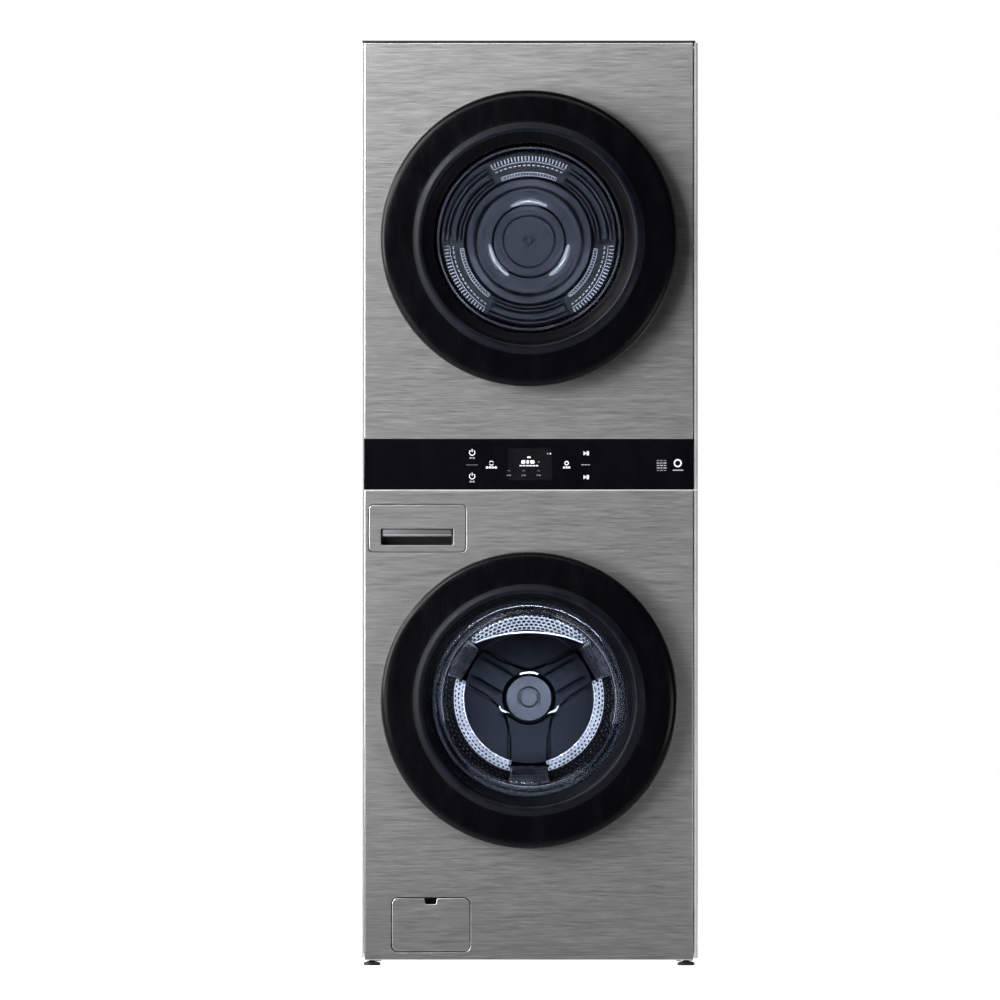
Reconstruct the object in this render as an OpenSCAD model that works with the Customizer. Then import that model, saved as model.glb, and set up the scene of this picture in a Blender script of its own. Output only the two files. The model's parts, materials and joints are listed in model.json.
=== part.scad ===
// A full-size washer with a dryer stacked on it in one tall cabinet.
// Millimetres. The front faces -Y, +Z is up, and the origin is on the floor under the middle.

/* [Cabinet] */
// Width over the side panels
body_w = 690; // [680:2:710]
// Height from the floor to the top cover
total_h = 1890; // [1880:2:1910]
// Depth from the front of the doors to the water fittings
total_d = 772; // [768:2:800]
// Height of the top edge of the washer's front panel
washer_top_z = 971.5; // [968:0.5:976]
// Height of the control band
band_h = 104; // [98:1:110]
// Thickness of the sheet metal
sheet = 1.2; // [1:0.1:1.4]

/* [Doors] */
// Outer radius of both doors
door_r = 303; // [301:1:304]
// How far the doors stand out from the front panels
door_proud = 52; // [50:1:56]
// Height of the washer's axis
washer_z = 543; // [541:1:545]
// Distance of the dryer's axis below the top of the cabinet
dryer_drop = 404; // [400:1:410]
// Radius of the washer's mouth in its front panel
washer_mouth_r = 226; // [226:0.5:228]
// Radius of the dryer's mouth in its front panel
dryer_mouth_r = 210; // [209:0.5:212]

/* [Drums] */
// Outer radius of the washer drum
drum_r = 280; // [276:1:281]
// Outer radius of the tub round the washer drum
tub_r = 306; // [304:1:306]
// Outer radius of the dryer drum
dryer_r = 305; // [300:1:308]

/* [Drawer and drain cover] */
// Width of the detergent drawer's front
drawer_w = 196.5; // [194:0.5:200]
// Height of the detergent drawer's front
drawer_h = 95.5; // [94:0.5:98]
// Width of the drain cover
cover_w = 158; // [156:1:162]
// Height of the drain cover
cover_h = 108; // [106:1:110]

/* [Feet] */
// Radius of a foot's pad
foot_r = 17.5; // [16:0.5:20]
// Distance of a foot's axis from the side of the cabinet
foot_inset = 24; // [23:1:30]

/* [Hidden] */
$fn = 96;
eps = 0.01;
fit = 0.05;                                   // radial clearance of a turning or sliding fit
gap = 0.5;                                    // clearance between pieces that only lie side by side
rear_proud = 14;                              // how far the water fittings stand out at the back
panel_flange = 16;                            // depth of the front panels' folded edges
stud_r = 6;                                   // radius of a foot's threaded stud
screw_r = 2;                                  // radius of a rear screw's shank
screw_head_r = 4.5;                           // radius of a rear screw's head
screw_inset = 12;                             // distance of the rear screws from the cabinet's sides
damper_x = 150;                               // distance of each damper from the middle
damper_y = 2;                                 // place of the dampers along Y
damper_rod_r = 6;                             // radius of a damper's rod
half_w = body_w / 2;
front_y = -total_d / 2 + door_proud;
back_y = total_d / 2 - rear_proud;
panel_x = half_w - 9;                         // half width of the front panels
panel_z = 12;                                 // lowest edge of the washer's front panel
side_z = 15;                                  // lowest edge of the side panels
top_t = 4;                                    // thickness of the top cover's edge
band_z = washer_top_z + 1;
band_top_z = band_z + band_h - 1;
dryer_z = total_h - dryer_drop;
dryer_panel_top = total_h - top_t - 0.7;

// Door seat stamped into the front panels
seat_d = 14;
seat_outer_r = 289;
seat_inner_r = 280;
lip_d = 14;

// Door hinges and latches
hinge_x = -285;
hinge_y = front_y - 25;
hinge_barrel_r = 8;
hinge_pin_r = 4;
hinge_half = 30;
knuckle_z = 14;
latch_x = 262;
latch_y = front_y - 10;
latch_pin_r = 2.5;

// Detergent drawer and drain cover, as places on the washer's front
drawer_x0 = -half_w + 18.8;
drawer_z0 = washer_top_z - 125.5;
drawer_corner = 9;
cover_corner = 12;
drawer_gap = 2;
cover_gap = 2.5;
cover_x0 = -half_w + 65.5;
cover_z0 = 29.9;
cover_axis_y = front_y + 9;
cover_axis_z = cover_z0 + 14.6;
filter_x = cover_x0 + cover_w / 2;
filter_z = cover_z0 + cover_h / 2;
filter_r = 34;

// Washer group along Y
drum_front_y = -224;
drum_back_y = 248;
tub_front_y = -262.5;
tub_split_y = -60;
tub_back_y = 288;
spring_x = 196;
spring_y = 62;
spring_z = washer_z + 262;
spring_top_z = spring_z + 120;
shaft_r = 15;
bearing_r = 31;

// Dryer group
dryer_front_y = -228;
dryer_back_y = 330;
dryer_shaft_r = 12.5;
motor_x = -190;
motor_z = 1085;
motor_r = 52;
pulley_r = 12;
belt_y = 60;
belt_w = 8;
deck_z = band_z + 12;
throat_r = 205;
bulkhead_y = front_y + 84;
sill_z = dryer_z - throat_r;
duct_x = 134;                                 // half width of the lint filter's duct
sill_x = 55;                                  // half width of the throat's two sill pieces

// ---------------------------------------------------------------- shared shapes

// A box between two corners.
module box(x0, x1, y0, y1, z0, z1) {
    translate([x0, y0, z0]) cube([x1 - x0, y1 - y0, z1 - z0]);
}

// Puts children whose own Z runs fore and aft at a height; their own Y points down.
module along_y(z) {
    translate([0, 0, z]) rotate([-90, 0, 0]) children();
}

// Turns an outline of [radius, y] points about a fore-and-aft axis at height z.
module turned(z, outline) {
    along_y(z) rotate_extrude() polygon(outline);
}

// A round bar along Y.
module bar_y(x, z, y0, y1, r) {
    translate([x, y0, z]) rotate([-90, 0, 0]) cylinder(r = r, h = y1 - y0);
}

// A tube along Y.
module tube_y(x, z, y0, y1, r_out, r_in) {
    difference() {
        bar_y(x, z, y0, y1, r_out);
        bar_y(x, z, y0 - 1, y1 + 1, r_in);
    }
}

// A plate in the XZ plane with round corners.
module round_plate(x0, z0, w, h, r, y0, y1) {
    translate([x0, y1, z0]) rotate([90, 0, 0]) linear_extrude(height = y1 - y0) union() {
        translate([r, 0]) square([w - 2 * r, h]);
        translate([0, r]) square([w, h - 2 * r]);
        for (x = [r, w - r], y = [r, h - r]) translate([x, y]) circle(r = r);
    }
}

// ---------------------------------------------------------------- cabinet

// Where the four feet stand.
function foot_xy(sx, sy) = [sx * (half_w - foot_inset), sy < 0 ? front_y + 45 : back_y - 45];

module base_frame() {
    color("dimgray") difference() {
        union() {
            box(-half_w + 8, half_w - 8, front_y + 20, back_y - 4, 40, 42.5);
            for (y = [front_y + 20, back_y - 6.5]) box(-half_w + 8, half_w - 8, y, y + 2.5, 17, 41);
            for (x = [-half_w + 8, half_w - 10.5]) box(x, x + 2.5, front_y + 20, back_y - 4, 17, 41);
            for (y = [-120, 150]) box(-half_w + 9, half_w - 9, y, y + 40, 24, 41);
            for (sx = [-1, 1], sy = [-1, 1]) translate(concat(foot_xy(sx, sy), [22])) cylinder(r = 15,
                h = 34);
        }
        for (sx = [-1, 1], sy = [-1, 1]) translate(concat(foot_xy(sx, sy), [10]))
            cylinder(r = stud_r + fit, h = 60);
        box(-half_w + 20, half_w - 20, -117, -83, 20, 38);
        box(-half_w + 20, half_w - 20, 153, 187, 20, 38);
        box(cover_x0 - 8, cover_x0 + cover_w + 8, front_y + 10, front_y + 38, 10, 50);
    }
}

// One foot: a soft pad, a lock nut and a threaded stud.
module leveling_foot(sx, sy) {
    translate(concat(foot_xy(sx, sy), [0])) {
        color("black") rotate_extrude() polygon([
            [0, 0], [foot_r - 2, 0], [foot_r, 2], [foot_r, 5.5], [foot_r - 3, 7.5], [8, 8.5], [0, 8.5]]);
        color("silver") translate([0, 0, 8.4]) cylinder(r = stud_r, h = 61.6);
        color("silver") translate([0, 0, 8.8]) cylinder(r = 11, h = 6, $fn = 6);
    }
}

// Section of the +X side panel seen from above: front flange, round corner, wall and rear flange.
module side_section() {
    r = 5;
    y0 = front_y + 2;
    translate([half_w - sheet, y0 + r]) square([sheet, back_y - y0 - r - 1.6]);
    translate([half_w - r, y0 + r]) difference() {
        circle(r = r);
        circle(r = r - sheet);
        translate([-r - 1, -r - 1]) square([r + 1, 2 * r + 2]);
        translate([-1, 0]) square([r + 2, r + 1]);
    }
    translate([half_w - 7.4, y0]) square([7.4 - r, sheet]);
    translate([half_w - 7.4, y0]) square([sheet, 18]);
    translate([half_w - 22, back_y - 1.6 - sheet]) square([22, sheet]);
}

// Heights of the screws that hold the rear panels.
function screw_zs(upper) = upper ? [1010, 1290, 1580, 1860] : [50, 340, 640, 940];

module rear_screw_row(upper, r, y0, y1) {
    for (x = [-half_w + screw_inset, half_w - screw_inset], z = screw_zs(upper)) bar_y(x, z, y0, y1, r);
}

module side_panel(sx, z0, z1, upper) {
    color("silver") difference() {
        translate([0, 0, z0]) linear_extrude(height = z1 - z0) mirror([sx < 0 ? 1 : 0, 0]) side_section();
        rear_screw_row(upper, screw_r + fit, back_y - 20, back_y + 5);
    }
    // arm that one of the tub's springs hangs from
    if (!upper) color("silver") mirror([sx < 0 ? 1 : 0, 0, 0]) {
        box(spring_x - 14, half_w - sheet + eps, spring_y - 10, spring_y + 10, spring_top_z,
            spring_top_z + 3);
        box(half_w - 12, half_w - sheet + eps, spring_y - 10, spring_y + 10, spring_top_z - 40,
            spring_top_z + 1);
    }
}

// A shallow tray: face sheet with flanges turned back along its four edges.
module panel_tray(z0, z1) {
    box(-panel_x, panel_x, front_y, front_y + sheet, z0, z1);
    for (x = [-panel_x, panel_x - sheet]) box(x, x + sheet, front_y + eps, front_y + panel_flange, z0, z1);
    for (z = [z0, z1 - sheet]) box(-panel_x, panel_x, front_y + eps, front_y + panel_flange, z, z + sheet);
}

// The stamped seat that a door closes into, with a lip round the mouth.
function seat_outline(mouth_r) = [
    [seat_outer_r + 1.5, front_y], [seat_outer_r, front_y], [seat_inner_r, front_y + seat_d],
    [mouth_r, front_y + seat_d], [mouth_r, front_y + seat_d + lip_d],
    [mouth_r + sheet, front_y + seat_d + lip_d], [mouth_r + sheet, front_y + seat_d + sheet],
    [seat_inner_r + 0.8, front_y + seat_d + sheet], [seat_outer_r + 0.8, front_y + sheet],
    [seat_outer_r + 1.5, front_y + sheet]];

module front_with_seat(axis_z, mouth_r, z0, z1) {
    difference() {
        union() {
            difference() {
                panel_tray(z0, z1);
                bar_y(0, axis_z, front_y - 5, front_y + 30, seat_outer_r);
            }
            turned(axis_z, seat_outline(mouth_r));
        }
        // slot for the latch
        box(latch_x - 13, latch_x + 13, front_y + 5, front_y + 30, axis_z - 14, axis_z + 14);
    }
}

module washer_front_panel() {
    color("lightgray") difference() {
        front_with_seat(washer_z, washer_mouth_r, panel_z, washer_top_z);
        round_plate(drawer_x0 - drawer_gap, drawer_z0 - drawer_gap, drawer_w + 2 * drawer_gap,
            drawer_h + 2 * drawer_gap, drawer_corner + drawer_gap, front_y - 2, front_y + 10);
        round_plate(cover_x0 - cover_gap, cover_z0 - cover_gap, cover_w + 2 * cover_gap,
            cover_h + 2 * cover_gap, cover_corner + cover_gap, front_y - 2, front_y + 10);
    }
}

module dryer_front_panel() {
    color("lightgray") front_with_seat(dryer_z, dryer_mouth_r, band_top_z + 1, dryer_panel_top);
}

module control_glass() {
    color("black") box(-panel_x, panel_x, front_y, front_y + 3, band_z, band_top_z);
}

module control_housing() {
    color("dimgray") difference() {
        box(-panel_x + 1, panel_x - 1, front_y + 3.2, front_y + 42, band_z + 1, band_top_z - 1);
        box(-panel_x + 4, panel_x - 4, front_y, front_y + 39, band_z + 4, band_top_z - 4);
    }
}

module control_board() {
    color("darkgreen") box(-140, 140, front_y + 12, front_y + 13.6, band_z + 12, band_top_z - 12);
    color("black") box(-60, 60, front_y + 4, front_y + 12.01, band_z + 24, band_top_z - 24);
    color("gray") for (x = [-110, -85, 90, 115]) box(x - 7, x + 7, front_y + 13.59, front_y + 24,
        band_z + 40, band_z + 60);
}

module top_cover() {
    color("black") union() {
        difference() {
            box(-half_w + 5, half_w - 5, front_y + 1, back_y - 2, total_h - top_t, total_h);
            box(-half_w + 14, half_w - 14, front_y + 10, back_y - 11, total_h - top_t - 1, total_h - sheet);
        }
        for (x = [-half_w + 12, half_w - 14 - eps])
            box(x, x + 2, front_y + 24, back_y - 12, total_h - 20, total_h - top_t + eps);
    }
}

// A rear sheet with its screw holes.
module rear_sheet(z0, z1, upper) {
    difference() {
        box(-half_w + 2, half_w - 2, back_y - sheet, back_y, z0, z1);
        rear_screw_row(upper, screw_r + fit, back_y - 5, back_y + 5);
    }
}

// Places of the two water inlets, the drain outlet and the four transit bolts on the back.
inlet_xz = [[-262, 900], [-206, 900]];
outlet_xz = [262, 880];
gland_xz = [262, 800];
transit_dx = 190;
transit_dz = 180;
transit_r = 11;

module washer_rear_panel() {
    dome_r = 165;
    color("silver") difference() {
        union() {
            rear_sheet(side_z, washer_top_z - 0.5, false);
            // stamped dome over the motor
            turned(washer_z, [[dome_r, back_y - sheet], [dome_r - 10, back_y + 7], [0, back_y + 7],
                              [0, back_y + 7 - sheet], [dome_r - 10.6, back_y + 7 - sheet],
                              [dome_r - 2, back_y - sheet]]);
        }
        bar_y(0, washer_z, back_y - 6, back_y + 2 - sheet, dome_r - 14);
        for (p = inlet_xz) bar_y(p[0], p[1], back_y - 5, back_y + 5, 15);
        bar_y(outlet_xz[0], outlet_xz[1], back_y - 5, back_y + 5, 18);
        for (sx = [-1, 1], sz = [-1, 1])
            bar_y(sx * transit_dx, washer_z + sz * transit_dz, back_y - 5, back_y + 5, transit_r);
        bar_y(gland_xz[0], gland_xz[1], back_y - 5, back_y + 5, 12);
    }
    // gland that a cord would leave through
    color("black") union() {
        tube_y(gland_xz[0], gland_xz[1], back_y - 10, back_y + 2, 12, 9);
        tube_y(gland_xz[0], gland_xz[1], back_y, back_y + 2, 15, 9);
    }
}

module dryer_rear_panel() {
    color("silver") union() {
        difference() {
            rear_sheet(band_z + 0.5, total_h - top_t - 1, true);
            for (z = [1040:16:1120], x = [-150:60:150]) box(x - 22, x + 22, back_y - 5, back_y + 5, z,
                z + 5);
        }
        // bearing block for the drum's shaft, carried on a cross brace
        difference() {
            union() {
                bar_y(0, dryer_z, 342, back_y - sheet + eps, 32);
                box(-half_w + 30, half_w - 30, back_y - 12, back_y - sheet + eps, dryer_z - 24,
                    dryer_z + 24);
            }
            bar_y(0, dryer_z, 340, back_y - 6, dryer_shaft_r + fit);
        }
    }
}

module dryer_base() {
    color("gray") union() {
        box(-half_w + 8, half_w - 8, front_y + 46, back_y - 6, deck_z, deck_z + 3);
        // blower scroll round the fan
        difference() {
            union() {
                bar_y(motor_x, motor_z, 222, 290, 92);
                box(motor_x - 92, motor_x + 92, 222, 290, deck_z + 2, motor_z);
            }
            bar_y(motor_x, motor_z, 225, 287, 84);
            bar_y(motor_x, motor_z, 218, 226, 40);
            box(motor_x - 40, motor_x + 84, 225, 287, motor_z - 84, motor_z - 60);
        }
        // duct walls round the heat exchangers
        difference() {
            box(84, 312, -212, 102, deck_z + 2, deck_z + 164);
            box(88, 308, -216, 98, deck_z + 6, deck_z + 160);
        }
        // motor cradle
        for (y = [96, 186]) difference() {
            box(motor_x - 50, motor_x + 50, y, y + 10, deck_z + 2, motor_z - 10);
            bar_y(motor_x, motor_z, y - 1, y + 11, motor_r + 0.3);
        }
    }
}

module rear_screws() {
    color("silver") for (upper = [false, true]) {
        rear_screw_row(upper, screw_r, back_y - 12, back_y + 1);
        rear_screw_row(upper, screw_head_r, back_y + 0.02, back_y + 2);
    }
}

// ---------------------------------------------------------------- door hinges, lock and latch

// The cabinet's half of one hinge: a plate on the seat, two hooked arms and the pin.
module hinge_bracket(z) {
    seat_y = front_y + seat_d;
    translate([0, 0, z]) {
        box(-272, -240, seat_y - 3, seat_y - 0.05, -hinge_half, hinge_half);
        for (z0 = [-hinge_half, knuckle_z]) translate([0, 0, z0]) {
            linear_extrude(height = hinge_half - knuckle_z) union() {
                translate([hinge_x, hinge_y]) circle(r = hinge_barrel_r);
                polygon([[hinge_x, hinge_y - 5], [hinge_x + 30, hinge_y + 1], [hinge_x + 34, hinge_y + 5],
                         [hinge_x + 35, seat_y - 2], [hinge_x + 28, seat_y - 2], [hinge_x + 27,
                             hinge_y + 8],
                         [hinge_x, hinge_y + 2]]);
            }
        }
        translate([hinge_x, hinge_y, -hinge_half]) cylinder(r = hinge_pin_r, h = 2 * hinge_half);
    }
}

module hinge_brackets() {
    color("silver") {
        hinge_bracket(washer_z);
        hinge_bracket(dryer_z);
    }
}

// The door's half of one hinge: a barrel on the pin and the plate that the door frame hangs on.
module door_hinge(z) {
    color("silver") translate([0, 0, z]) difference() {
        union() {
            translate([hinge_x, hinge_y, -knuckle_z + gap]) cylinder(r = hinge_barrel_r,
                h = 2 * (knuckle_z - gap));
            box(hinge_x, hinge_x + 8, hinge_y - 12, hinge_y - 2, -knuckle_z + gap, knuckle_z - gap);
            box(hinge_x - 4, -229, hinge_y - 12, hinge_y - hinge_barrel_r - 0.6, -hinge_half, hinge_half);
        }
        translate([hinge_x, hinge_y, -40]) cylinder(r = hinge_pin_r + fit, h = 80);
    }
}

module washer_door_lock() {
    seat_y = front_y + seat_d + sheet;
    color("black") difference() {
        box(latch_x - 18, latch_x + 17, seat_y + 0.1, seat_y + 30, washer_z - 28, washer_z + 28);
        box(latch_x - 13, latch_x + 13, seat_y - 1, seat_y + 25, washer_z - 12, washer_z + 12);
    }
}

module washer_latch_hook() {
    color("silver") difference() {
        translate([latch_x, latch_y, washer_z - 4]) linear_extrude(height = 8) union() {
            circle(r = 5.5);
            polygon([[-4, 0], [4, 0], [4, 42], [0, 46], [-9, 40], [-9, 36], [-4, 36]]);
        }
        translate([latch_x, latch_y, washer_z - 10]) cylinder(r = latch_pin_r + fit, h = 20);
    }
}

// ---------------------------------------------------------------- doors

crest_r = 289;
dish_outer_r = 236;
dish_inner_r = 192;
function smooth(t) = t * t * (3 - 2 * t);
// Distance of a door's outer skin behind its crest at radius r.
function skin_depth(r) =
    r > crest_r ? 1.2 + 30 * (1 - sqrt(max(0, 1 - pow((r - crest_r) / (door_r - crest_r), 2))))
    : r > dish_outer_r ? 1.2 * pow((r - 262.5) / 26.5, 2)
    : r > dish_inner_r ? 1.2 + 24 * smooth((dish_outer_r - r) / (dish_outer_r - dish_inner_r))
    : 25.2 + 8 * (1 - pow(r / dish_inner_r, 2));

module door_cover(z) {
    crest_y = front_y - door_proud;
    rim_y = front_y - 16;
    t = 4;
    outer_rs = concat([for (r = [0:16:dish_inner_r]) r], [for (r = [200:6:dish_outer_r]) r], [250,
        262.5, 275],
                      [for (a = [0:15:90]) crest_r + (door_r - crest_r) * sin(a)]);
    inner_rs = concat([for (r = [0:16:dish_inner_r]) r], [for (r = [200:6:dish_outer_r]) r], [250,
        262.5, 275]);
    inner_rim = [for (a = [0:15:90]) [crest_r + (door_r - t - crest_r) * sin(a),
        crest_y + 1.2 + t + 26 * (1 - cos(a))]];
    outer = [for (r = outer_rs) [r, crest_y + skin_depth(r)]];
    inner = concat([for (r = inner_rs) [r, crest_y + t + skin_depth(r)]], inner_rim);
    n = len(inner);
    turned(z, concat(outer, [[door_r, rim_y], [door_r - t, rim_y]], [for (i = [n - 1:-1:0]) inner[i]]));
}

module door_frame(z) {
    rear_y = front_y - 3;
    ring = [[218, front_y - 18], [236, front_y - 18], [236, front_y - 40], [239, front_y - 40],
            [239, front_y - 18], [280, front_y - 18], [280, front_y - 38], [283, front_y - 38],
            [283, front_y - 18], [door_r - 4.5, front_y - 18], [door_r - 4.5, front_y - 15.8],
            [door_r - 1.5, front_y - 15.8], [door_r - 1.5, front_y - 12], [296, front_y - 5],
            [276, rear_y], [218, rear_y]];
    color("black") difference() {
        union() {
            turned(z, ring);
            box(-246, -229, front_y - 33, front_y - 17, z - 40, z + 40);
        }
        // room for the hinge
        box(-310, -248, front_y - 45, front_y, z - hinge_half - 4, z + hinge_half + 4);
        box(-310, -228, front_y - 45, front_y - 33.3, z - hinge_half - 1, z + hinge_half + 1);
        // finger grip behind the right edge
        box(268, 305, front_y - 14, front_y, z - 50, z + 50);
    }
}

module washer_door_frame() {
    difference() {
        door_frame(washer_z);
        box(latch_x - 12, latch_x + 14, front_y - 17, front_y, washer_z - 9, washer_z + 9);
    }
    color("silver") translate([latch_x, latch_y, washer_z - 12]) cylinder(r = latch_pin_r, h = 24);
}

module dryer_door_frame() {
    door_frame(dryer_z);
    // strike that pushes into the catch
    color("black") box(latch_x - 4, latch_x + 4, front_y - 8, front_y + 22, dryer_z - 8, dryer_z + 8);
}

// A glass bowl: flange, sloping wall and a floor that reaches depth behind the front panel.
module door_bowl(z, depth, floor_r) {
    t = 5;
    y0 = front_y - 16;
    y1 = front_y + depth;
    turned(z, [[216, y0], [216, y0 + 6], [202, y0 + 6], [197, y0 + 14], [floor_r + 8, y1 - 20],
        [floor_r, y1 - 8],
               [floor_r - 16, y1 - 2], [0, y1], [0, y1 - t], [floor_r - 17, y1 - t - 2], [floor_r - 5,
                   y1 - 12],
               [floor_r + 3, y1 - 22], [192, y0 + 12], [196, y0 + 3], [204, y0]]);
}

module washer_door_bowl() {
    color("lightblue", 0.4) door_bowl(washer_z, 110, 168);
}

module dryer_door_bowl() {
    color("lightblue", 0.4) door_bowl(dryer_z, 62, 172);
}

// ---------------------------------------------------------------- washer group

module tub_front() {
    y0 = tub_front_y;
    color("gainsboro") turned(washer_z, [
        [232.5, y0 - 13.5], [236, y0 - 13.5], [236, y0], [tub_r - 5, y0], [tub_r, y0 + 5.5], [tub_r,
            tub_split_y - 6],
        [tub_r + 8, tub_split_y - 6], [tub_r + 8, tub_split_y], [tub_r - 3, tub_split_y], [tub_r - 3,
            y0 + 6.5],
        [tub_r - 6, y0 + 3.5], [232.5, y0 + 3.5]]);
}

module tub_rear() {
    y0 = tub_split_y + 0.2;
    yb = tub_back_y;
    color("gainsboro") union() {
        turned(washer_z, [
            [tub_r - 3, y0], [tub_r + 8, y0], [tub_r + 8, y0 + 6], [tub_r, y0 + 6], [tub_r, yb - 6],
                [tub_r - 6, yb],
            [46, yb], [46, yb + 50], [bearing_r + 0.05, yb + 50], [bearing_r + 0.05, yb + 34], [24,
                yb + 34],
            [24, yb + 20], [bearing_r + 0.05, yb + 20], [bearing_r + 0.05, yb + 4], [24, yb + 4], [24,
                yb - 4],
            [tub_r - 8, yb - 4], [tub_r - 3, yb - 9]]);
        // radial ribs on the back
        for (a = [15:30:345]) along_y(washer_z) rotate([0, 0, a]) translate([140, -1.5, yb - eps])
            cube([155, 3, 7]);
        // ring that carries the stator
        turned(washer_z, [[60, yb - eps], [80, yb - eps], [80, yb + 6], [60, yb + 6]]);
        // lugs for the springs and the dampers
        for (s = [-1, 1]) {
            box(s * spring_x - 8, s * spring_x + 8, spring_y - 12, spring_y + 12, washer_z + 216, spring_z);
            box(s * damper_x - 14, s * damper_x + 14, damper_y - 14, damper_y + 14, 258, washer_z - 256);
        }
    }
}

module damper_rods() {
    color("silver") for (s = [-1, 1]) translate([s * damper_x, damper_y, 96])
        cylinder(r = damper_rod_r, h = 161.9);
}

module damper_cylinders() {
    color("dimgray") for (s = [-1, 1]) translate([s * damper_x, damper_y, 42.6]) difference() {
        union() {
            cylinder(r = 20, h = 8);
            cylinder(r = 16, h = 150);
        }
        translate([0, 0, 30]) cylinder(r = damper_rod_r + fit, h = 130);
    }
}

// Close-wound springs that hang the tub from the arms on the side panels.
module suspension_springs() {
    coils = 17;
    pitch = 4.6;
    wire_r = 2.2;
    coil_r = 13;
    z0 = spring_z + 18;
    outline = [for (i = [0:coils - 1], a = [-90:30:60])
        [coil_r + wire_r * cos(a), z0 + pitch * i + pitch / 2 * (1 + a / 90)]];
    color("gray") for (s = [-1, 1]) translate([s * spring_x, spring_y, 0]) {
        rotate_extrude() polygon(concat([[0, z0]], outline, [[coil_r, z0 + pitch * coils], [0,
            z0 + pitch * coils]]));
        translate([0, 0, spring_z + 0.05]) cylinder(r = wire_r, h = 18);
        translate([0, 0, z0 + pitch * coils - 1]) cylinder(r = wire_r,
            h = spring_top_z - z0 - pitch * coils + 0.95);
    }
}

module door_gasket() {
    f = front_y;
    s = f + seat_d - 0.4;
    m = washer_mouth_r - 0.5;
    color("gray") turned(washer_z, [
        [199, f + 22], [211, s - 3.6], [m + 9, s - 3.6], [m + 9, s], [m, s], [m, f + 34], [239,
            f + 41], [239, f + 45],
        [225, f + 51], [225, f + 57.5], [231.5, f + 57.5], [231.5, tub_front_y], [228, tub_front_y],
            [228, f + 61],
        [221, f + 61], [221, f + 49], [234, f + 43], [m - 3.5, f + 37], [m - 3.5, s], [213, s], [202.5,
            f + 24.5]]);
}

module counterweights() {
    color("darkgray") along_y(washer_z) for (a = [20, 200]) rotate([0, 0, a]) rotate_extrude(angle = 140)
        polygon([[246, -305], [300, -305], [304, -301], [304, -263], [246, -263]]);
}

module stator() {
    y0 = tub_back_y + 6.1;
    color("peru") {
        tube_y(0, washer_z, y0, y0 + 24, 96, 52);
        for (a = [0:20:340]) along_y(washer_z) rotate([0, 0, a]) translate([90, -9, y0]) cube([27, 18, 24]);
    }
}

module tub_bearings() {
    color("silver") for (y = [tub_back_y + 4.1, tub_back_y + 34.1])
        tube_y(0, washer_z, y, y + 15.8, bearing_r, shaft_r + fit);
}

module washer_drum() {
    f = drum_front_y;
    b = drum_back_y;
    r = drum_r;
    t = 1.1;
    color("silver") turned(washer_z, [
        [212, f + 14], [212, f + 4], [216, f - 1], [262, f], [r - 4, f + 8], [r, f + 20], [r, b - 10],
            [r - 6, b - 2],
        [r - 18, b], [230, b], [190, b - 8], [60, b - 14], [0, b - 14], [0, b - 14 - t], [60, b - 14 - t],
        [190, b - 8 - t], [230, b - t], [r - 19, b - t], [r - 7, b - 3.5], [r - t, b - 10.5], [r - t,
            f + 20],
        [r - 5, f + 9], [261.5, f + t], [217, f + t - 1], [213.5, f + 4.5], [213.5, f + 14]]);
}

// Three ridges along the inside of a drum, at 30, 150 and 270 degrees.
module lifters(z, r, y0, y1, base, top, height) {
    intersection() {
        bar_y(0, z, y0, y1, r);
        along_y(z) for (a = [90, 210, 330]) rotate([0, 0, a]) translate([0, 0, y0])
            linear_extrude(height = y1 - y0)
            polygon([[r + 8, -base], [r + 8, base], [r - height * 0.45, base * 0.82], [r - height, top],
                     [r - height, -top], [r - height * 0.45, -base * 0.82]]);
    }
}

module washer_lifters() {
    color("silver") difference() {
        lifters(washer_z, drum_r - 2, drum_front_y + 34, drum_back_y - 18, 44, 20, 62);
        lifters(washer_z, drum_r + 6, drum_front_y + 37, drum_back_y - 21, 40.5, 17.5, 67);
    }
}

module drum_spider() {
    y0 = drum_back_y + 1;
    color("silver") union() {
        bar_y(0, washer_z, drum_back_y - 13.9, y0 + 27, 48);
        bar_y(0, washer_z, drum_back_y - 13.9, tub_back_y + 66, shaft_r);
        for (a = [30, 150, 270]) along_y(washer_z) rotate([0, 0, a]) {
            translate([30, -24, y0 + 2]) cube([232, 48, 14]);
            translate([236, -40, y0 + 0.5]) cube([28, 80, 14]);
        }
    }
}

module rotor() {
    y0 = tub_back_y + 6;
    yb = tub_back_y + 54;
    color("gray") union() {
        turned(washer_z, [
            [121, y0], [131, y0], [131, yb + 2], [128, yb + 5], [30, yb + 5], [30, yb + 9],
                [shaft_r + 0.02, yb + 9],
            [shaft_r + 0.02, yb - 1], [30, yb - 1], [30, yb + 1], [121, yb + 1]]);
        turned(washer_z, [
            [shaft_r + 0.02, yb + 8.9], [24, yb + 8.9], [24, yb + 14], [12, yb + 18], [0, yb + 18], [0,
                yb + 12.1],
            [shaft_r + 0.02, yb + 12.1]]);
    }
}

module dispenser_housing() {
    x1 = drawer_x0 + drawer_w + 2;
    z0 = drawer_z0 - 2;
    color("gainsboro") difference() {
        box(drawer_x0 - 2, x1, front_y + 18, 42, z0, z0 + drawer_h + 5);
        box(drawer_x0 + 1, x1 - 3, front_y + 10, 39, z0 + 3, z0 + drawer_h + 2);
    }
}

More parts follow.
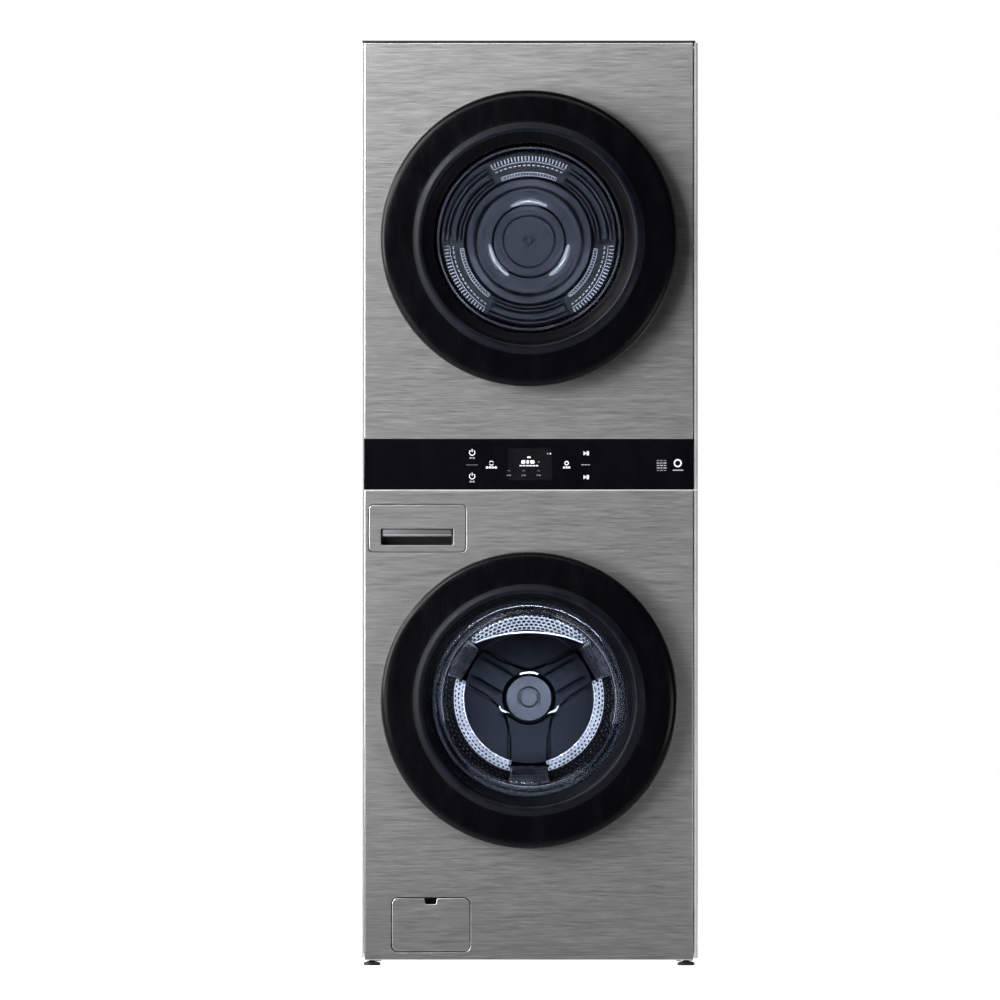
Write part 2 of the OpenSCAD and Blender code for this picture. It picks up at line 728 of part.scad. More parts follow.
module drawer_front() {
    x0 = drawer_x0;
    z0 = drawer_z0;
    pocket_x = x0 + 23.6;
    pocket_w = drawer_w - 47.9;
    pocket_z = z0 + 13;
    pocket_h = 34.2;
    grip_h = 16.5;
    color("lightgray") difference() {
        union() {
            round_plate(x0, z0, drawer_w, drawer_h, drawer_corner, front_y, front_y + 4);
            box(pocket_x - 3, pocket_x + pocket_w + 3, front_y + 3, front_y + 30, pocket_z - 3,
                pocket_z + pocket_h + 3);
        }
        box(pocket_x, pocket_x + pocket_w, front_y - 1, front_y + 27, pocket_z, pocket_z + pocket_h);
    }
    // grip bar across the upper half of the pocket
    color("gray") box(pocket_x - eps, pocket_x + pocket_w + eps, front_y + 2, front_y + 6,
        pocket_z + pocket_h - grip_h, pocket_z + pocket_h + eps);
}

module drawer_tray() {
    x0 = drawer_x0 + 5;
    x1 = drawer_x0 + drawer_w - 5;
    y0 = front_y + 30.2;
    y1 = 30;
    z0 = drawer_z0 + 5;
    z1 = drawer_z0 + 76;
    mid = x0 + 118;
    color("white") difference() {
        box(x0, x1, y0, y1, z0, z1);
        box(x0 + 2, mid - 1, y0 + 2, y1 - 2, z0 + 2, z1 + 1);
        box(mid + 1, x1 - 2, y0 + 2, y0 + 180, z0 + 2, z1 + 1);
        box(mid + 1, x1 - 2, y0 + 182, y1 - 2, z0 + 2, z1 + 1);
    }
}

// Water inlet valve: a body and two threaded spigots that come out through the rear panel.
module inlet_valves() {
    color("dimgray") difference() {
        union() {
            box(-288, -180, back_y - 46, back_y - 6, 876, 924);
            for (p = inlet_xz) {
                bar_y(p[0], p[1], back_y - 6 - eps, back_y + eps, 12);
                bar_y(p[0], p[1], back_y, back_y + rear_proud, 13.2);
            }
        }
        for (p = inlet_xz) bar_y(p[0], p[1], back_y - 30, back_y + rear_proud + 1, 8.5);
    }
}

module drain_outlet() {
    color("dimgray") difference() {
        union() {
            bar_y(outlet_xz[0], outlet_xz[1], back_y - 30, back_y + eps, 14);
            bar_y(outlet_xz[0], outlet_xz[1], back_y, back_y + rear_proud, 15);
            bar_y(outlet_xz[0], outlet_xz[1], back_y - 10, back_y - 1.6, 24);
        }
        bar_y(outlet_xz[0], outlet_xz[1], back_y - 20, back_y + rear_proud + 1, 11);
    }
}

// Drain pump with the recess behind the drain cover and the socket of its filter.
module drain_pump() {
    x0 = cover_x0 - 2.5;
    x1 = cover_x0 + cover_w + 2.5;
    z0 = cover_z0 - 5.4;
    z1 = cover_z0 + cover_h + 3;
    f = front_y + 1.4;
    color("dimgray") difference() {
        union() {
            difference() {
                box(x0 - 3, x1 + 3, f, front_y + 34, z0 - 3, z1 + 3);
                box(x0, x1, f - 1, front_y + 31, z0, z1);
            }
            bar_y(filter_x, filter_z, front_y + 31, front_y + 130, filter_r + 4);
            bar_y(filter_x, filter_z, front_y + 120, front_y + 190, filter_r + 6);
            bar_y(filter_x, filter_z, front_y + 190, front_y + 226, 30);
            translate([filter_x + 20, front_y + 90, filter_z]) cylinder(r = 15, h = 76);
        }
        bar_y(filter_x, filter_z, front_y + 20, front_y + 120, filter_r + fit);
        translate([filter_x + 20, front_y + 90, filter_z + 20]) cylinder(r = 12, h = 70);
        for (x = [x0 - 4, x1 - 1]) translate([x, cover_axis_y, cover_axis_z]) rotate([0, 90, 0])
            cylinder(r = 3 + fit, h = 5);
    }
}

module drain_filter() {
    y0 = front_y + 22;
    color("white") union() {
        bar_y(filter_x, filter_z, y0, y0 + 14, filter_r);
        box(filter_x - 26, filter_x + 26, y0 - 10, y0 + eps, filter_z - 5, filter_z + 5);
        tube_y(filter_x, filter_z, y0 + 13, y0 + 80, 27, 24);
        for (a = [0:60:300]) along_y(filter_z) translate([filter_x, 0, 0]) rotate([0, 0, a])
            translate([24, -2, y0 + 13]) cube([6, 4, 70]);
    }
}

module drain_cover() {
    nx = cover_x0 + cover_w / 2;
    zt = cover_z0 + cover_h;
    color("lightgray") difference() {
        round_plate(cover_x0, cover_z0, cover_w, cover_h, cover_corner, front_y, front_y + 3);
        // finger notch in the top edge
        translate([nx, front_y + 5, zt - 12]) rotate([90, 0, 0]) linear_extrude(height = 8)
            polygon([[-11, 0], [11, 0], [13.5, 14], [-13.5, 14]]);
    }
    color("dimgray") for (s = [-1, 1]) {
        ear_x = s < 0 ? cover_x0 + 3 : cover_x0 + cover_w - 7;
        pin_x = s < 0 ? cover_x0 - 4.5 : cover_x0 + cover_w - 3.1;
        box(ear_x, ear_x + 4, front_y + 2.9, front_y + 13, cover_axis_z - 5, cover_axis_z + 6);
        translate([pin_x, cover_axis_y, cover_axis_z]) rotate([0, 90, 0]) cylinder(r = 3, h = 7.6);
    }
}

// ---------------------------------------------------------------- dryer group

// Flat wall in front of the drum, the round throat to the door, and the duct that the lint filter sits in.
module dryer_front_bulkhead() {
    y0 = bulkhead_y;
    color("gainsboro") difference() {
        union() {
            difference() {
                box(-panel_x, panel_x, y0, y0 + 2, deck_z + 4, total_h - 24);
                bar_y(0, dryer_z, y0 - 5, y0 + 5, throat_r + 1);
                box(-duct_x - gap, duct_x + gap, y0 - 1, y0 + 3, deck_z, sill_z + 34 + gap);
            }
            turned(dryer_z, [[throat_r, front_y + 28.4], [208, front_y + 28.4], [208, dryer_front_y + 4],
                             [211.4, dryer_front_y + 4], [211.4, dryer_front_y + 12], [208,
                                 dryer_front_y + 12],
                             [208, dryer_front_y + 14], [throat_r, dryer_front_y + 14]]);
            // box that catches the door's strike
            box(latch_x - 16, latch_x + 16, front_y + seat_d + sheet + 0.1, y0 + 1, dryer_z - 20,
                dryer_z + 20);
        }
        box(4 - duct_x, duct_x - 4, y0 - 12, y0 + 10, deck_z + 8, sill_z + 60);
        box(latch_x - 9, latch_x + 9, front_y, front_y + 40, dryer_z - 12, dryer_z + 12);
        // joints that set the sill in front of the filter, and the one behind it, into the throat
        for (x = [-sill_x, sill_x])
            box(x - gap / 2, x + gap / 2, front_y + 28, dryer_front_y + 15, sill_z - 10, sill_z + 20);
    }
    // duct that holds the lint filter, standing free under the throat
    color("gainsboro") difference() {
        box(-duct_x, duct_x, y0 - 16, y0 + 14, deck_z + 4, sill_z + 34);
        bar_y(0, dryer_z, y0 - 20, y0 + 20, throat_r + 3 + gap);
        box(4 - duct_x, duct_x - 4, y0 - 12, y0 + 10, deck_z + 8, sill_z + 60);
    }
}

module lint_filter() {
    y0 = bulkhead_y - 10.5;
    z0 = sill_z - 170;
    color("gainsboro") difference() {
        union() {
            box(-126, 126, y0, y0 + 17, z0, sill_z + 4);
            box(-60, 60, y0 + 2, y0 + 15, sill_z + 3, sill_z + 22);
        }
        // slot under the handle's bar
        box(-50, 50, y0 + 1, y0 + 16, sill_z + 8, sill_z + 17);
        // screened windows, each with a thin web left for the mesh
        for (x = [-120, -37, 46]) for (y = [y0 - 1, y0 + 9]) box(x, x + 74, y, y + 9, z0 + 6, sill_z - 12);
    }
}

module dryer_drum() {
    f = dryer_front_y;
    b = dryer_back_y;
    r = dryer_r;
    t = 1.1;
    color("silver") union() {
        turned(dryer_z, [
            [212, f + 14], [212, f + 3], [216, f], [r - 30, f], [r - 6, f + 8], [r, f + 22], [r,
                b - 14], [r - 8, b - 3],
            [r - 22, b], [200, b], [180, b - 7], [90, b - 12], [80, b - 3], [0, b - 3], [0, b - 3 - t],
                [79, b - 3 - t],
            [89, b - 12 - t], [180, b - 7 - t], [200, b - t], [r - 23, b - t], [r - 9, b - 4.5],
                [r - t, b - 14.5],
            [r - t, f + 22], [r - 7, f + 9], [r - 30.5, f + t], [216.7, f + t], [213.5, f + 3.5],
                [213.5, f + 14]]);
        bar_y(0, dryer_z, b - 4, 360, dryer_shaft_r);
        bar_y(0, dryer_z, b - 4, 338, 40);
    }
}

module dryer_lifters() {
    color("silver") difference() {
        lifters(dryer_z, dryer_r - 2, dryer_front_y + 34, dryer_back_y - 24, 40, 16, 60);
        lifters(dryer_z, dryer_r + 6, dryer_front_y + 37, dryer_back_y - 27, 36.5, 13.5, 65);
    }
}

module dryer_motor() {
    color("dimgray") difference() {
        union() {
            bar_y(motor_x, motor_z, 84, 208, motor_r);
            bar_y(motor_x, motor_z, 76, 216, 24);
        }
        bar_y(motor_x, motor_z, 70, 220, 6 + fit);
    }
}

module motor_rotor() {
    color("silver") union() {
        bar_y(motor_x, motor_z, belt_y - 8, 284, 6);
        bar_y(motor_x, motor_z, belt_y - 6, belt_y + belt_w + 6, pulley_r);
        for (y = [belt_y - 6, belt_y + belt_w + 4]) bar_y(motor_x, motor_z, y, y + 2, pulley_r + 4);
    }
    color("white") union() {
        bar_y(motor_x, motor_z, 228, 231, 76);
        bar_y(motor_x, motor_z, 228, 284, 16);
        for (a = [0:18:342]) along_y(motor_z) translate([motor_x, 0, 0]) rotate([0, 0, a])
            translate([52, -1, 230]) cube([22, 2, 48]);
        tube_y(motor_x, motor_z, 276, 280, 76, 50);
    }
}

// Flat belt round the drum and the motor pulley, drawn as the difference of two taut loops.
module belt_loop(extra) {
    dx = motor_x;
    dz = dryer_z - motor_z;
    hull() {
        circle(r = dryer_r + 1.2 + extra, $fn = 72);
        translate([dx, dz]) circle(r = pulley_r + 0.6 + extra, $fn = 32);
    }
}

module dryer_belt() {
    color("black") translate([0, belt_y, dryer_z]) rotate([-90, 0, 0]) linear_extrude(height = belt_w)
        difference() {
        belt_loop(2.4);
        belt_loop(0);
    }
}

module compressor() {
    color("black") translate([190, 230, deck_z + 3.2]) {
        for (a = [0:120:240]) rotate([0, 0, a]) translate([50, -12, 0]) cube([34, 24, 6]);
        rotate_extrude() polygon([[0, 4], [58, 4], [66, 14], [66, 140], [54, 158], [0, 164]]);
    }
    color("peru") translate([190 - 96, 230, deck_z + 9]) cylinder(r = 16, h = 120);
}

module heat_exchangers() {
    z0 = deck_z + 6.5;
    color("peru") for (y = [-200, -60]) {
        for (x = [92, 300]) box(x, x + 4, y, y + 100, z0, z0 + 148);
        for (x = [104:16:290]) box(x, x + 2.5, y + 2, y + 98, z0 + 2, z0 + 146);
        for (z = [20:36:128], yy = [20, 50, 80]) translate([92, y + yy, z0 + z]) rotate([0, 90, 0])
            cylinder(r = 5, h = 212);
    }
}

// ---------------------------------------------------------------- the model

base_frame();
side_panel(-1, side_z, washer_top_z, false);  // lower_left_side
side_panel(1, side_z, washer_top_z, false);  // lower_right_side
side_panel(-1, band_z + 0.5, total_h - top_t - 0.7, true);  // upper_left_side
side_panel(1, band_z + 0.5, total_h - top_t - 0.7, true);  // upper_right_side
washer_front_panel();
dryer_front_panel();
control_housing();
control_glass();
control_board();
top_cover();
washer_rear_panel();
dryer_rear_panel();
dryer_base();
hinge_brackets();
washer_door_lock();
dispenser_housing();
inlet_valves();
drain_outlet();
drain_pump();
damper_cylinders();
suspension_springs();
dryer_front_bulkhead();
dryer_motor();
compressor();
heat_exchangers();
dryer_belt();
rear_screws();
color("black") door_cover(washer_z);  // washer_door_cover
washer_door_frame();
washer_door_bowl();
door_hinge(washer_z);  // washer_door_hinge
washer_latch_hook();
color("black") door_cover(dryer_z);  // dryer_door_cover
dryer_door_frame();
dryer_door_bowl();
door_hinge(dryer_z);  // dryer_door_hinge
tub_rear();
tub_front();
door_gasket();
counterweights();
stator();
tub_bearings();
damper_rods();
washer_drum();
washer_lifters();
drum_spider();
rotor();
dryer_drum();
dryer_lifters();
motor_rotor();
drawer_front();
drawer_tray();
drain_cover();
drain_filter();
lint_filter();
leveling_foot(-1, -1);  // foot_front_left
leveling_foot(1, -1);  // foot_front_right
leveling_foot(-1, 1);  // foot_rear_left
leveling_foot(1, 1);  // foot_rear_right
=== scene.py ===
import json
import math

import bmesh
import bpy
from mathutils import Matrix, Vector
from mathutils.geometry import tessellate_polygon


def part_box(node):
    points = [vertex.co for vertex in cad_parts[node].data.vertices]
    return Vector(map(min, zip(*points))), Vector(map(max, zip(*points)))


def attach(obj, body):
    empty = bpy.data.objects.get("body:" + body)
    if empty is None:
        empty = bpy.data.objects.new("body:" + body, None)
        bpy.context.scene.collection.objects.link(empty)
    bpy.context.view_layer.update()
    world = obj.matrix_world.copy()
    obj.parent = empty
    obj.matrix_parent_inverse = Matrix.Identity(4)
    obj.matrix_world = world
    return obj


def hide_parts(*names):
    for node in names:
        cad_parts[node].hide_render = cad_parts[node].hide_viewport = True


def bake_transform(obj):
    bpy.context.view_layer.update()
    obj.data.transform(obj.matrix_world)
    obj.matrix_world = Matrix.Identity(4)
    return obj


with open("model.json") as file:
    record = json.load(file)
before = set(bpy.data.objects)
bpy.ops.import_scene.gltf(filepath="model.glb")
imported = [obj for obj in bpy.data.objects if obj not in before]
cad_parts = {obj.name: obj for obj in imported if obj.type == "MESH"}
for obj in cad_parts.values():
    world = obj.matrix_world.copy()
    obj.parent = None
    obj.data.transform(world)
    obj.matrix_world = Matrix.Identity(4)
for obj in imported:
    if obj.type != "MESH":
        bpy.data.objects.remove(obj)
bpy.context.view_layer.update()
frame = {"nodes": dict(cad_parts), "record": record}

# ---------------------------------------------------------------- places

MM = 0.001
MERGE = 0.00002                     # points closer than this become one


def low(node):
    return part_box(node)[0]


def high(node):
    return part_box(node)[1]


def middle(node):
    return (low(node) + high(node)) / 2


FRONT = low("washer_front_panel").y
CREST = low("washer_door_cover").y
PANEL_X = high("washer_front_panel").x
WASHER_Z = middle("washer_door_cover").z
DRYER_Z = middle("dryer_door_cover").z
WASHER_BACK = high("washer_drum").y
DRYER_BACK = 0.3265                 # inner face of the dryer drum's back wall
LIFTER_ANGLES = (30, 150, 270)      # where both drums carry their lifters, in degrees
SECTOR_ANGLES = (90, 210, 330)      # middles of the sectors between the lifters


# ---------------------------------------------------------------- shapes

class Shape:
    """The faces of one piece, gathered from simple parts, each with its own material."""

    def __init__(self):
        self.points = []
        self.faces = []
        self.slots = []
        self.smooth = []

    def add(self, points, faces, slot=0, smooth=True):
        base = len(self.points)
        self.points.extend(points)
        self.faces.extend([base + i for i in face] for face in faces)
        self.slots.extend([slot] * len(faces))
        self.smooth.extend([smooth] * len(faces))

    def grid(self, rows, slot=0, around=False, close=False):
        """Quads between rows of points; around joins each row's ends, close joins the last row to the first."""
        n, m = len(rows), len(rows[0])
        faces = []
        for i in range(n if close else n - 1):
            for j in range(m if around else m - 1):
                k, t = (i + 1) % n, (j + 1) % m
                faces.append((i * m + j, i * m + t, k * m + t, k * m + j))
        self.add([p for row in rows for p in row], faces, slot)

    def turned(self, outline, z, x=0.0, segments=192, slot=0, closed=True):
        """An outline of (radius, y) turned about a fore-and-aft axis."""
        turns = [math.tau * j / segments for j in range(segments)]
        rows = [[(x + r * math.cos(a), y, z + r * math.sin(a)) for a in turns] for r, y in outline]
        self.grid(rows, slot, around=True, close=closed)

    def fill(self, rings, slot=0):
        """Flat faces inside the first ring and outside the others."""
        flat = [[Vector((p[0], p[2], 0)) for p in ring] for ring in rings]
        self.add([p for ring in rings for p in ring], tessellate_polygon(flat), slot, smooth=False)

    def plate(self, loops, profiles, front, slot=0):
        """A sheet facing the front: an outline and its holes, each edge with its own (inset, depth) profile."""
        first, last = [], []
        for index, (loop, profile) in enumerate(zip(loops, profiles)):
            side = 1 if index == 0 else -1
            rings = [[(x, front + depth, z) for x, z in inset(loop, side * d)] for d, depth in profile]
            self.grid(rings, slot, around=True)
            first.append(rings[0])
            last.append(rings[-1])
        self.fill(first, slot)
        self.fill(last, slot)

    def block(self, a, b, slot=0):
        """A box between two corners."""
        p = [(x, y, z) for x in (a[0], b[0]) for y in (a[1], b[1]) for z in (a[2], b[2])]
        self.add(p, [(0, 1, 3, 2), (4, 6, 7, 5), (0, 4, 5, 1), (2, 3, 7, 6), (0, 2, 6, 4), (1, 5, 7, 3)], slot)

    def tube(self, path, radius, slot=0, sides=8, closed=False):
        """A round bead along points."""
        rows = []
        count = len(path)
        for i, p in enumerate(path):
            before = path[i - 1] if (i or closed) else path[0]
            after = path[(i + 1) % count] if (i < count - 1 or closed) else path[-1]
            along = (Vector(after) - Vector(before)).normalized()
            side = along.cross(Vector((0, 1, 0)))
            if side.length < 0.01:
                side = along.cross(Vector((0, 0, 1)))
            side.normalize()
            up = side.cross(along)
            turns = [math.tau * k / sides for k in range(sides)]
            rows.append([tuple(Vector(p) + radius * (side * math.cos(a) + up * math.sin(a))) for a in turns])
        self.grid(rows, slot, around=True, close=closed)
        if not closed:
            for row in (rows[0], rows[-1]):
                self.add(row, [tuple(range(sides))], slot)

    def build(self, name, finish, materials, body, stands_for=(), angle=32):
        """Makes the piece and lets it ride on a body."""
        mesh = bpy.data.meshes.new(name)
        mesh.from_pydata([tuple(p) for p in self.points], [], self.faces)
        for material in materials:
            mesh.materials.append(material)
        mesh.polygons.foreach_set("material_index", self.slots)
        mesh.polygons.foreach_set("use_smooth", self.smooth)
        work = bmesh.new()
        work.from_mesh(mesh)
        bmesh.ops.remove_doubles(work, verts=work.verts, dist=MERGE)
        bmesh.ops.dissolve_degenerate(work, edges=work.edges, dist=MERGE / 4)
        bmesh.ops.recalc_face_normals(work, faces=work.faces)
        work.to_mesh(mesh)
        work.free()
        shaded = [face.use_smooth for face in mesh.polygons]
        mesh.set_sharp_from_angle(angle=math.radians(angle))     # this makes every face smooth
        mesh.polygons.foreach_set("use_smooth", shaded)
        piece = bpy.data.objects.new(name, mesh)
        bpy.context.scene.collection.objects.link(piece)
        if body:
            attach(piece, body)
        if stands_for:
            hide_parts(*stands_for)
        return piece


def inset(loop, distance):
    """A loop that runs anticlockwise, moved inwards."""
    moved = []
    for i, (x, z) in enumerate(loop):
        before, after = loop[i - 1], loop[(i + 1) % len(loop)]
        come = Vector((x - before[0], z - before[1])).normalized()
        go = Vector((after[0] - x, after[1] - z)).normalized()
        normal = Vector((-come.y - go.y, come.x + go.x)).normalized()
        reach = distance / max(0.3, normal.dot(Vector((-come.y, come.x))))
        moved.append((x + normal.x * reach, z + normal.y * reach))
    return moved


def circle(x, z, r, n=192):
    """A loop of n points about a centre."""
    return [(x + r * math.cos(math.tau * i / n), z + r * math.sin(math.tau * i / n)) for i in range(n)]


def round_rect(x0, z0, x1, z1, radii, steps=8):
    """A rectangle with round corners: one radius, or lower left, lower right, upper right and upper left."""
    radii = radii if isinstance(radii, tuple) else (radii,) * 4
    corners = zip(((x0, z0), (x1, z0), (x1, z1), (x0, z1)), ((1, 1), (-1, 1), (-1, -1), (1, -1)), radii,
                  (180, 270, 0, 90))
    loop = []
    for (x, z), (sx, sz), r, start in corners:
        for k in range(steps + 1):
            a = math.radians(start + 90 * k / steps)
            loop.append((x + sx * r + r * math.cos(a), z + sz * r + r * math.sin(a)))
    return loop


def rounding(r, steps=4):
    """Edge profile of a rolled front edge, from the face to the wall."""
    turns = [math.radians(90 * k / steps) for k in range(steps + 1)]
    return [(r * (1 - math.sin(a)), r * (1 - math.cos(a))) for a in turns]


def set_back(y, outline):
    """Points (radius, y) from an outline in millimetres, whose depths are counted back from y."""
    return [(r * MM, y + d * MM) for r, d in outline]


def smooth(t):
    t = min(1.0, max(0.0, t))
    return t * t * (3 - 2 * t)


def bell(value, centre, width):
    return math.exp(-((value - centre) / width) ** 2)


def polar(r, degrees, y, z):
    a = math.radians(degrees)
    return (r * math.cos(a), y, z + r * math.sin(a))


def off(degrees, centre):
    """Signed angle from a centre, in degrees."""
    return (degrees - centre + 180) % 360 - 180


def near(degrees, centres):
    """Angle to the nearest of several centres, in degrees."""
    return min((off(degrees, c) for c in centres), key=abs)


# ---------------------------------------------------------------- materials

class Paint:
    """One procedural material. Its patterns follow the row frame, so they ride with the piece."""

    def __init__(self, name, colour, rough, metal=0.0):
        self.material = bpy.data.materials.new(name)
        self.material.use_nodes = True
        self.tree = self.material.node_tree
        self.shader = self.tree.nodes["Principled BSDF"]
        self.output = self.tree.nodes["Material Output"]
        self.where = self.tree.nodes.new("ShaderNodeTexCoord").outputs["Object"]
        self.shader.inputs["Base Color"].default_value = (*colour, 1)
        self.shader.inputs["Roughness"].default_value = rough
        self.shader.inputs["Metallic"].default_value = metal

    def node(self, kind, **settings):
        made = self.tree.nodes.new(kind)
        for name, value in settings.items():
            setattr(made, name, value)
        return made

    def link(self, a, b):
        self.tree.links.new(a, b)

    def noise(self, stretch, detail=3.0, rough=0.55, seed=0.0):
        """Noise whose grain is stretch cycles a metre, the same way all round or along X, Y and Z."""
        place = self.node("ShaderNodeMapping")
        place.inputs["Scale"].default_value = stretch if isinstance(stretch, tuple) else (stretch,) * 3
        place.inputs["Location"].default_value = (seed, seed * 0.7, seed * 1.3)
        self.link(self.where, place.inputs["Vector"])
        made = self.node("ShaderNodeTexNoise")
        made.inputs["Scale"].default_value = 1.0
        made.inputs["Detail"].default_value = detail
        made.inputs["Roughness"].default_value = rough
        self.link(place.outputs["Vector"], made.inputs["Vector"])
        return made.outputs["Fac"]

    def band(self, source, start=0.3, end=0.7, low_value=0, high_value=1):
        """A pattern stretched from start..end to low_value..high_value."""
        made = self.node("ShaderNodeMapRange")
        for name, value in (("From Min", start), ("From Max", end), ("To Min", low_value), ("To Max", high_value)):
            made.inputs[name].default_value = value
        self.link(source, made.inputs["Value"])
        return made.outputs["Result"]

    def sum(self, a, b, share=0.5):
        made = self.node("ShaderNodeMix", data_type="FLOAT")
        made.inputs["Factor"].default_value = share
        self.link(a, made.inputs["A"])
        self.link(b, made.inputs["B"])
        return made.outputs["Result"]

    def tones(self, source, dark, light):
        made = self.node("ShaderNodeMix", data_type="RGBA")
        self.link(source, made.inputs["Factor"])
        made.inputs["A"].default_value = (*dark, 1)
        made.inputs["B"].default_value = (*light, 1)
        return made.outputs["Result"]

    def colour(self, source, dark, light):
        self.link(self.tones(source, dark, light), self.shader.inputs["Base Color"])
        return self

    def rough(self, source):
        self.link(source, self.shader.inputs["Roughness"])
        return self

    def bump(self, source, depth, strength=1.0):
        """Relief of a real depth, in metres."""
        made = self.node("ShaderNodeBump")
        made.inputs["Strength"].default_value = strength
        made.inputs["Distance"].default_value = depth
        self.link(source, made.inputs["Height"])
        self.link(made.outputs["Normal"], self.shader.inputs["Normal"])
        return self

    def set(self, **values):
        for name, value in values.items():
            self.shader.inputs[name.replace("_", " ")].default_value = value
        return self


def steel_panel():
    """Stainless sheet, brushed along X."""
    paint = Paint("brushed_stainless", (0.5, 0.5, 0.5), 0.36, 1.0)
    streaks = paint.sum(paint.noise((14, 1, 330), 3, 0.6), paint.noise((30, 1, 900), 2, 0.6, 3.0), 0.5)
    cloud = paint.noise((1.6, 1.0, 2.4), 2, 0.5, 9.0)
    tone = paint.band(paint.sum(streaks, cloud, 0.08), 0.36, 0.64, 0, 1)
    paint.colour(tone, (0.41, 0.412, 0.414), (0.6, 0.6, 0.598))
    paint.rough(paint.band(streaks, 0.3, 0.7, 0.33, 0.4))
    paint.bump(streaks, 0.00001, 0.3)
    paint.set(Anisotropic=0.6)
    tangent = paint.node("ShaderNodeTangent", direction_type="RADIAL", axis="Z")
    paint.link(tangent.outputs["Tangent"], paint.shader.inputs["Tangent"])
    return paint.material


def painted(name, colour, rough, metal=0.0, peel=60.0, depth=0.00004, vary=0.08):
    """Paint or moulded plastic: a fine skin, slightly uneven colour and wiped patches of gloss."""
    paint = Paint(name, colour, rough, metal)
    cloud = paint.noise(7, 4, 0.6, 2.0)
    dark = tuple(c * (1 - vary) for c in colour)
    light = tuple(min(1, c * (1 + vary)) for c in colour)
    paint.colour(paint.band(cloud), dark, light)
    paint.rough(paint.band(cloud, 0.25, 0.75, rough * 0.85, min(1, rough * 1.15)))
    paint.bump(paint.noise(peel * 12, 2, 0.5, 5.0), depth, 0.5)
    return paint.material


def black_gloss(name, colour=(0.0014, 0.0014, 0.0018), rough=0.06, specular=0.3):
    """Polished black glass with faint wiping marks."""
    paint = Paint(name, colour, rough).set(Specular_IOR_Level=specular)
    wipes = paint.noise((26, 26, 9), 5, 0.65, 4.0)
    paint.colour(paint.band(wipes, 0.35, 0.7, 0, 1), colour, tuple(c * 1.5 for c in colour))
    paint.rough(paint.band(wipes, 0.35, 0.75, rough, rough * 2.2))
    return paint.material


def see_through(name, tint, ior, rough):
    """Thin glass: what is behind it, tinted, under a mirror that grows towards grazing angles."""
    paint = Paint(name, tint, rough)
    clear = paint.node("ShaderNodeBsdfTransparent")
    wipes = paint.noise(18, 3, 0.6, 6.0)
    paint.link(paint.tones(paint.band(wipes), [c * 0.96 for c in tint], tint), clear.inputs["Color"])
    gloss = paint.node("ShaderNodeBsdfGlossy")
    gloss.inputs["Color"].default_value = (1, 1, 1, 1)
    gloss.inputs["Roughness"].default_value = rough
    fresnel = paint.node("ShaderNodeFresnel")
    fresnel.inputs["IOR"].default_value = ior
    both = paint.node("ShaderNodeMixShader")
    paint.link(fresnel.outputs["Fac"], both.inputs["Fac"])
    paint.link(clear.outputs["BSDF"], both.inputs[1])
    paint.link(gloss.outputs["BSDF"], both.inputs[2])
    paint.link(both.outputs["Shader"], paint.output.inputs["Surface"])
    paint.tree.nodes.remove(paint.shader)
    return paint.material


def worn_metal(name, colour, rough, grain, depth=0.00002, metal=1.0):
    """Bare metal with a directional grain."""
    paint = Paint(name, colour, rough, metal)
    lines = paint.sum(paint.noise(grain, 3, 0.6, 1.0), paint.noise(5, 3, 0.5, 8.0), 0.4)
    dark = tuple(c * 0.82 for c in colour)
    paint.colour(paint.band(lines), dark, colour)
    paint.rough(paint.band(lines, 0.3, 0.7, rough * 0.8, rough * 1.25))
    paint.bump(lines, depth, 0.4)
    return paint.material


def galvanised_sheet():
    """Zinc coated sheet with its flat crystals."""
    paint = Paint("galvanised_sheet", (0.55, 0.56, 0.57), 0.42, 0.9)
    cells = paint.node("ShaderNodeTexVoronoi")
    cells.inputs["Scale"].default_value = 62.0
    paint.link(paint.where, cells.inputs["Vector"])
    grey = paint.node("ShaderNodeSeparateColor")
    paint.link(cells.outputs["Color"], grey.inputs["Color"])
    paint.colour(grey.outputs["Red"], (0.47, 0.48, 0.49), (0.6, 0.61, 0.62))
    paint.rough(paint.band(grey.outputs["Green"], 0, 1, 0.34, 0.5))
    paint.bump(paint.noise(40, 3, 0.5), 0.00006, 0.3)
    return paint.material


def glow_mark(name, level):
    """Lit print on the control glass."""
    paint = Paint(name, (level, level, level), 0.4)
    grain = paint.noise(900, 1, 0.5)
    paint.colour(paint.band(grain), (level * 0.85,) * 3, (level,) * 3)
    paint.set(Emission_Color=(0.86, 0.93, 1, 1), Emission_Strength=level * 0.9)
    return paint.material


STAINLESS = steel_panel()
SIDE_PAINT = painted("side_enamel", (0.36, 0.363, 0.37), 0.34, 0.35, depth=0.00003)
BLACK_PAINT = painted("black_enamel", (0.012, 0.012, 0.013), 0.36, depth=0.00003)
GALVANISED = galvanised_sheet()
BLACK_GLASS = black_gloss("control_black_glass")
DOOR_BLACK = black_gloss("door_black_glass", (0.001, 0.001, 0.0013), 0.16, 0.08)
DOOR_SLOPE = black_gloss("door_slope_glass", (0.0012, 0.0012, 0.0016), 0.2, 0.02)
# the ridge's faint bluish colour is a painted tint standing in for the reflected halo round the window
DOOR_RIDGE = black_gloss("door_ridge_glass", (0.0014, 0.0022, 0.004), 0.3, 0.1)
PANE_BLACK = black_gloss("display_pane", (0.0034, 0.0034, 0.004), 0.1)
WINDOW = see_through("tinted_window", (0.6, 0.615, 0.655), 1.16, 0.06)
BOWL_GLASS = see_through("bowl_glass", (0.96, 0.965, 0.975), 1.16, 0.06)
BLACK_PLASTIC = painted("black_moulding", (0.014, 0.014, 0.015), 0.42, peel=110)
GREY_PLASTIC = painted("grey_moulding", (0.4, 0.41, 0.42), 0.5, peel=90)
WHITE_PLASTIC = painted("white_moulding", (0.76, 0.77, 0.78), 0.45, peel=90, vary=0.03)
GRIP_GREY = painted("grip_satin", (0.075, 0.075, 0.078), 0.42, 0.3, peel=90)
